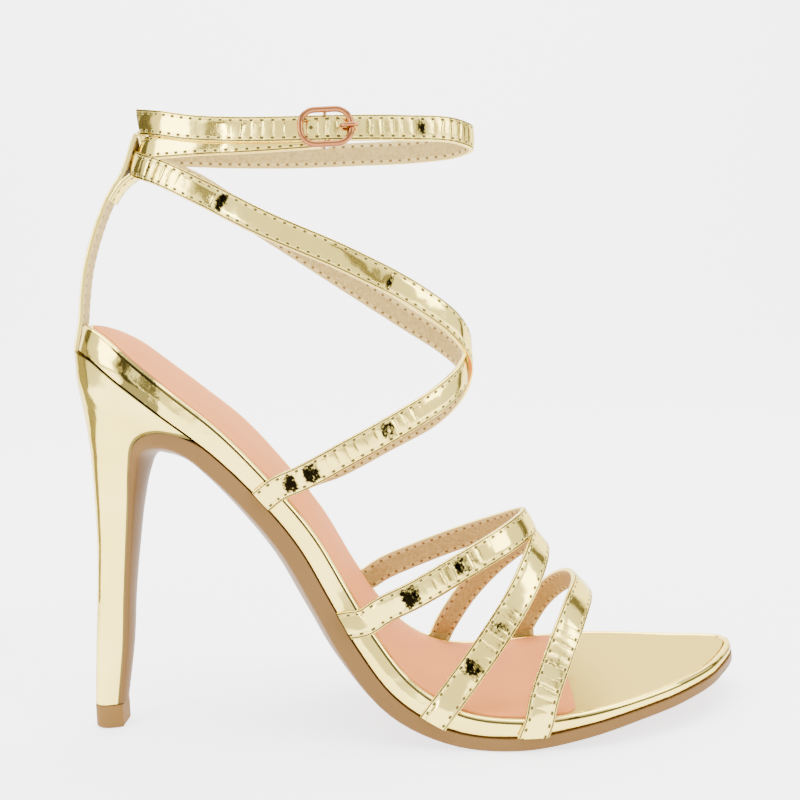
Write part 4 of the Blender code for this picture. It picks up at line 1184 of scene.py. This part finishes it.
def moulded_resin(name, face_hex, deep_hex, roughness):
    """Moulded resin sheet: even colour, satin skin with a fine pebble from the mould."""
    material, tree, shader = new_material(name)
    cloud = noise(tree, object_place(tree), 30.0, 2.0)
    feed(tree, shader.inputs["Base Color"], mixed(tree, cloud, linear(face_hex), linear(deep_hex)))
    # Mould pebble of 0.4 mm
    feed(tree, shader.inputs["Normal"], ripple(tree, 2500.0, 1.0, 0.00003, 0.3))
    shader.inputs["Roughness"].default_value = roughness
    shader.inputs["Specular IOR Level"].default_value = 0.03
    return material


def plated_metal(name, hex_colour):
    """Zinc die casting plated rose gold: bright, with a barely wavy polish."""
    material, tree, shader = new_material(name)
    shader.inputs["Base Color"].default_value = linear(hex_colour)
    shader.inputs["Metallic"].default_value = 1.0
    shader.inputs["Roughness"].default_value = 0.14
    feed(tree, shader.inputs["Normal"], ripple(tree, 500.0, 1.0, 0.00003, 0.3))
    return material


# Straps

def strap_section(width, sizes):
    """Points round a folded strap: across and height; outer face first."""
    half = width / 2
    outer = sizes.fold_radius
    inner = sizes.fold_radius * 0.5
    points = []
    for k in range(5):
        angle = math.pi / 2 * k / 4
        points.append((-half + outer - outer * math.cos(angle),
                       STRAP_THICK - outer + outer * math.sin(angle)))
    flat = half - outer
    for k in range(1, 14):
        across = -flat + 2 * flat * k / 14
        rows = math.exp(-((abs(across) - (half - sizes.stitch_inset)) / 0.00045) ** 2)
        swell = 1 - (across / half) ** 2
        points.append((across, STRAP_THICK + sizes.puff * swell - sizes.stitch_sink * rows))
    for k in range(5):
        angle = math.pi / 2 * (1 - k / 4)
        points.append((half - outer + outer * math.cos(angle),
                       STRAP_THICK - outer + outer * math.sin(angle)))
    for k in range(3):
        angle = math.pi / 2 * k / 2
        points.append((half - inner + inner * math.cos(angle), inner - inner * math.sin(angle)))
    for k in range(1, 6):
        points.append((half - inner - 2 * (half - inner) * k / 6, 0.0))
    for k in range(3):
        angle = math.pi / 2 * (1 - k / 2)
        points.append((-half + inner - inner * math.cos(angle), inner - inner * math.sin(angle)))
    return points


def worn(rows, along):
    """Ridge of the creases, and how dark their painted reflection is, at a distance along the strap, in mm.
    """
    ridge = 0.0
    dark = 0.0
    for place, reach, deep, shade in rows:
        near_by = math.exp(-((along - place) / reach) ** 2)
        ridge += deep * near_by
        dark += shade * math.exp(-((along - place) / reach) ** 4)
    return ridge, dark, 0.0


def strap_skin(bm, points, normals, width, slants, creases, sizes):
    """Adds one folded strap, with its places and creases noted for the material."""
    section = strap_section(width, sizes)
    tangents = np.gradient(points, axis=0)
    length = run_along(points)
    rings = []
    places = []
    marks = []
    for point, normal, tangent, along in zip(points, normals, tangents, length):
        tangent = unit(tangent)
        normal = unit(normal - tangent * np.dot(normal, tangent))
        near_first = max(0.0, 1 - along / SLANT_REACH)
        near_last = max(0.0, 1 - (length[-1] - along) / SLANT_REACH)
        lean = slants[0] * near_first + slants[1] * near_last
        side = np.cross(tangent, normal) + tangent * lean
        mark = worn(creases, along / MM)
        through = along / sizes.stitch_pitch % 1.0
        wave = sizes.ridge_height * mark[0] * (1 - 2 * math.exp(-((through - 0.5) / 0.16) ** 2))
        ring = []
        place = []
        for across, height in section:
            lift = wave * (1 - (2 * across / width) ** 2) if height > STRAP_THICK / 2 else 0.0
            ring.append(point + side * across + normal * (height + lift))
            place.append(((along + lean * across) / MM, (width / 2 - abs(across)) / MM, height / MM))
        rings.append(ring)
        places.append(place)
        marks.append([mark] * len(ring))
    add_skin(bm, rings, "flat", places, marks)


def path_strap(bm, rows, width, creases, sizes, first_foot=None, last_foot=None, end_slant=0.0):
    points, normals = strap_stations(rows, first_foot, last_foot)
    first = wall_slant(points, normals, first_foot, 0) if first_foot else 0.0
    last = wall_slant(points, normals, last_foot, -1) if last_foot else end_slant
    strap_skin(bm, points, normals, width, (first, last), creases, sizes)


def riser_path():
    x = np.array(column(RISER_ROWS, RISER_COLUMNS, "x")) * SHOE_RUN
    z = np.array(column(RISER_ROWS, RISER_COLUMNS, "z")) * SEAT_HEIGHT
    back = []
    for depth in (board_thick(0.0) + RISER_SEATED, 0.5 * board_thick(0.0), 0.0):
        px, pz = sole_line(0.0, float(depth))
        back.append((float(px) - CLEARANCE - STRAP_THICK, 0.0, float(pz)))
    places = np.array(back + [(a, 0.0, b) for a, b in zip(x, z)])
    points, _ = even_stations(places, places)
    tangents = np.gradient(points, axis=0)
    facing = np.array([unit(np.array([-t[2], 0.0, t[0]])) for t in tangents])
    return points - facing * STRAP_THICK, facing


def feet(shares):
    tuck_outer, rim_outer, rim_inner, tuck_inner = shares
    return (tuck_outer, rim_outer, -1), (tuck_inner, rim_inner, 1)


def toe_bed(share):
    """Depth of the bed inside the rim: a recess for the sock, nearly level at the toe."""
    rise = np.clip((share - 0.72) / 0.04, 0, 1)
    return RECESS_DEPTH + (TOE_BED_DEPTH - RECESS_DEPTH) * rise * rise * (3 - 2 * rise)


def painted_knock_reflection(point):
    """Darkness of the painted reflection of a knock in the cover at the outer side of the seat."""
    x, y, z = point
    if y > 0 or x > 0.045:
        return 0.0
    return 0.95 * math.exp(-((x - KNOCK_PLACE) / KNOCK_REACH) ** 4)


# Add-on

def measure(name, description, metres):
    return bpy.props.FloatProperty(name=name, description=description, default=metres, unit="LENGTH")


def tint(name, description, hex_colour):
    return bpy.props.StringProperty(name=name, description=description, default=hex_colour)


class SandalSizes(bpy.types.PropertyGroup):
    stitch_pitch: measure("Stitch Pitch", "Distance from stitch to stitch", 0.0030)
    stitch_inset: measure("Stitch Inset", "Stitch row to the strap's edge", 0.00115)
    stitch_sink: measure("Stitch Sink", "How far a stitch row is pulled in", 0.00010)
    puff: measure("Puff", "Swell of a strap between its stitch rows", 0.00018)
    fold_radius: measure("Fold Radius", "Rounding of a strap's folded edge", 0.00045)
    ridge_height: measure("Ridge Height", "Height of the creases in the foil", 0.00012)
    rim_bead: measure("Rim Bead", "Radius of the roll along the footbed's edge", 0.0011)


class SandalColours(bpy.types.PropertyGroup):
    gold_hex: tint("Gold", "Foil in the light", "F6E07A")
    gold_deep_hex: tint("Deep Gold", "Foil where it lies thicker", "ECD36C")
    glance_hex: tint("Glance", "Foil at a grazing angle", "D9D3BC")
    # Painted dark reflections: in the folds of the straps and in the knock near the seat
    painted_dark_reflection_hex: tint("Fold", "What the sharpest folds mirror", "0C0903")
    # Painted shade in the needle holes and the spare hole of the foil
    stitch_hole_shade_hex: tint("Stitch Hole", "Needle holes in the foil", "231C0C")
    thread_hex: tint("Thread", "Stitching thread", "C9B25A")
    lining_hex: tint("Lining", "Strap lining", "B59F60")
    lining_deep_hex: tint("Deep Lining", "Strap lining, darker nap", "8F7A49")
    # Painted shade in the holes through the lining
    lining_hole_shade_hex: tint("Lining Hole", "Needle holes in the lining", "4A3216")
    hem_hex: tint("Hem", "Foil turned over onto the lining", "D8C07A")
    # Painted dark lines: reflections along folded edges and the rim, shade along the heel's edge and seam
    painted_dark_line_hex: tint("Edge Line", "Fine line along a folded edge", "1E1808")
    bed_hex: tint("Toe Bed", "Foil under the toes", "C2AC56")
    sock_hex: tint("Sock", "Footbed lining", "CB7F44")
    sock_deep_hex: tint("Deep Sock", "Footbed lining, darker", "C3763C")
    sole_hex: tint("Outsole", "Outsole sheet", "6E5330")
    sole_deep_hex: tint("Deep Outsole", "Outsole sheet, darker", "634A2A")
    tread_hex: tint("Heel Tread", "Block under the heel", "7B5C2F")
    buckle_hex: tint("Buckle", "Rose-gold plating", "935F3A")
    studio_hex: tint("Studio", "Floor and backdrop", "CFCDCE")


class SANDAL_OT_ankle_straps(bpy.types.Operator):
    """Crossing straps, ankle strap and the strap up the heel with its loop"""
    bl_idname = "sandal.ankle_straps"
    bl_label = "Ankle Straps"

    def execute(self, context):
        sizes = context.scene.sandal_sizes
        leather = foil_leather("foil_leather_ankle", context.scene.sandal_colours, "strap")
        bm = bmesh.new()
        path_strap(bm, OUTER_CROSS_ROWS, ANKLE_WIDTH, CREASES["outer_cross"], sizes,
                   first_foot=(*OUTER_CROSS_FOOT, -1))
        path_strap(bm, INNER_CROSS_ROWS, ANKLE_WIDTH, CREASES["inner_cross"], sizes,
                   first_foot=(*INNER_CROSS_FOOT, 1), end_slant=FREE_END_SLANT)
        points, facing = riser_path()
        strap_skin(bm, points, facing, RISER_WIDTH, (0.0, 0.0), CREASES["riser"], sizes)
        dress(finished("ankle_straps_leather", bm, 40.0), leather, "strap_leather", "ankle_straps")
        return {"FINISHED"}


class SANDAL_OT_front_straps(bpy.types.Operator):
    """The two joined instep straps and the toe strap"""
    bl_idname = "sandal.front_straps"
    bl_label = "Front Straps"

    def execute(self, context):
        sizes = context.scene.sandal_sizes
        leather = foil_leather("foil_leather_front", context.scene.sandal_colours, "strap")
        bm = bmesh.new()
        path_strap(bm, REAR_VAMP_ROWS, VAMP_WIDTH, CREASES["rear_vamp"], sizes, *feet(REAR_VAMP_FEET))
        path_strap(bm, MIDDLE_VAMP_ROWS, VAMP_WIDTH, CREASES["middle_vamp"], sizes, *feet(MIDDLE_VAMP_FEET))
        dress(finished("vamp_straps_leather", bm, 40.0), leather, "strap_leather", "vamp_straps")
        bm = bmesh.new()
        path_strap(bm, TOE_STRAP_ROWS, VAMP_WIDTH, CREASES["toe_strap"], sizes, *feet(TOE_STRAP_FEET))
        dress(finished("toe_strap_leather", bm, 40.0), leather, "strap_leather", "toe_strap")
        return {"FINISHED"}


class SANDAL_OT_footbed(bpy.types.Operator):
    """Wrapped board with its rim bead, and the sock"""
    bl_idname = "sandal.footbed"
    bl_label = "Footbed"

    def execute(self, context):
        sizes = context.scene.sandal_sizes
        colours = context.scene.sandal_colours
        bead = sizes.rim_bead
        # Up the wall and over the rim: inset, depth by share, and the place round the rim
        wall = [(0.0003, board_thick, 0.0), (0.0, lambda s: board_thick(s) - 0.0003, 0.0),
                (0.0, lambda s: board_thick(s) * 0.5, 0.0), (0.0, lambda s: 0 * s + bead + 0.0003, 0.0),
                (0.0, lambda s: 0 * s + bead, 0.6), (0.0, lambda s: 0 * s + bead - 0.0001, 1.0)]
        for k in range(1, 9):
            angle = math.pi * k / 8
            wall.append((bead - bead * math.cos(angle),
                         lambda s, a=angle: 0 * s + bead * (1 - math.sin(a)) - 0.0002 * math.sin(a),
                         1.0 + k * 0.12))
        wall.append((2 * bead + 0.0001, toe_bed, 2.2))
        wall.append((RIM_WIDTH, toe_bed, 3.0))
        rings = []
        places = []
        for inset, depth, part in wall:
            ring = plan_ring(inset, depth, SOLE_STATIONS)
            rings.append(ring)
            # Where the painted dark reflection of the rim line shows
            lines = [1.0 if x > 0.012 else 0.0 for x, _, _ in ring]
            places.append([(x / MM, line, part) for (x, _, _), line in zip(ring, lines)])
        # Painted dark reflection of the knock near the seat
        knock_reflections = [[(0.0, painted_knock_reflection(p), 0.0) for p in ring] for ring in rings]
        foil = foil_leather("foil_wrapped_board", colours, "board")
        dress(skinned("board_cover", rings, "pairs", places, knock_reflections, sharp=60.0), foil,
              "board_cover", "insole_board")
        inset = RIM_WIDTH + CLEARANCE
        low = RECESS_DEPTH - SOCK_GAP
        high = low - SOCK_THICK
        layers = [(inset, low), (inset, high + SOCK_THICK * 0.5)]
        for k in range(1, 4):
            angle = math.pi / 2 * k / 3
            soft = SOCK_THICK * 0.5
            layers.append((inset + soft * (1 - math.cos(angle)), high + soft * (1 - math.sin(angle))))
        rings = [plan_ring(i, lambda s, d=d: 0 * s + d, SOLE_STATIONS, SOCK_OUTER_SHARE, SOCK_INNER_SHARE)
                 for i, d in layers]
        dress(skinned("sock_sheet", rings, "pairs", sharp=60.0), soft_lining("microfibre_sock", colours),
              "sock_lining", "sock")
        return {"FINISHED"}


class SANDAL_OT_heel(bpy.types.Operator):
    """Covered stiletto heel, its tread block and the outsole"""
    bl_idname = "sandal.heel"
    bl_label = "Heel and Outsole"

    def execute(self, context):
        colours = context.scene.sandal_colours
        rings = heel_rings()
        steps = 1 - np.cos(np.linspace(0, 1, HEEL_STATIONS + 1) * math.pi / 2)
        round_heel = (*steps, *steps[:0:-1])
        places = [[(math.dist(p, q) / MM, 0.0, a) for p, q, a in zip(ring, rings[-1], round_heel)]
                  for ring in rings]
        dress(skinned("heel_cover", rings, "pairs", places, sharp=40.0),
              foil_leather("foil_wrapped_heel", colours, "heel"), "heel_cover", "heel")
        dress(skinned("heel_tread", tread_rings(), "pairs", sharp=40.0),
              moulded_resin("moulded_heel_tread", colours.tread_hex, colours.sole_deep_hex, 0.5),
              "heel_tread", "top_piece")
        dress(skinned("outsole_sheet", outsole_rings(), "flat", sharp=40.0),
              moulded_resin("moulded_resin_outsole", colours.sole_hex, colours.sole_deep_hex, 0.38),
              "outsole_sheet", "outsole")
        return {"FINISHED"}


class SANDAL_OT_buckle(bpy.types.Operator):
    """Ring, centre bar and prong"""
    bl_idname = "sandal.buckle"
    bl_label = "Buckle"

    def execute(self, context):
        plating = plated_metal("rose_gold_plating", context.scene.sandal_colours.buckle_hex)
        bm = bmesh.new()
        for path, radius, loop in buckle_wires():
            wire_skin(bm, path, radius, loop)
        dress(finished("buckle_plated", bm, 60.0), plating, "buckle_metal", "buckle")
        return {"FINISHED"}


class SANDAL_OT_studio(bpy.types.Operator):
    """Pale sweep, soft lights and the camera"""
    bl_idname = "sandal.studio"
    bl_label = "Studio"

    def execute(self, context):
        colours = context.scene.sandal_colours
        build_sweep(colours)
        build_lights()
        build_camera()
        return {"FINISHED"}


class SANDAL_PT_panel(bpy.types.Panel):
    """Sizes, colours and builders of the sandal"""
    bl_idname = "SANDAL_PT_panel"
    bl_label = "Strappy Sandal"
    bl_space_type = "VIEW_3D"
    bl_region_type = "UI"
    bl_category = "Sandal"

    def draw(self, context):
        layout = self.layout
        for group in (context.scene.sandal_sizes, context.scene.sandal_colours):
            for name in group.__annotations__:
                layout.prop(group, name)
        for operator in OPERATORS:
            layout.operator(operator.bl_idname)


OPERATORS = (SANDAL_OT_footbed, SANDAL_OT_heel, SANDAL_OT_front_straps, SANDAL_OT_ankle_straps,
             SANDAL_OT_buckle, SANDAL_OT_studio)
CLASSES = (SandalSizes, SandalColours, *OPERATORS, SANDAL_PT_panel)


def register():
    for kind in CLASSES:
        bpy.utils.register_class(kind)
    bpy.types.Scene.sandal_sizes = bpy.props.PointerProperty(type=SandalSizes)
    bpy.types.Scene.sandal_colours = bpy.props.PointerProperty(type=SandalColours)


def unregister():
    del bpy.types.Scene.sandal_colours
    del bpy.types.Scene.sandal_sizes
    for kind in reversed(CLASSES):
        bpy.utils.unregister_class(kind)


def main():
    register()
    bpy.ops.sandal.footbed()
    bpy.ops.sandal.heel()
    bpy.ops.sandal.front_straps()
    bpy.ops.sandal.ankle_straps()
    bpy.ops.sandal.buckle()
    bpy.ops.sandal.studio()


if __name__ == "__main__":
    main()
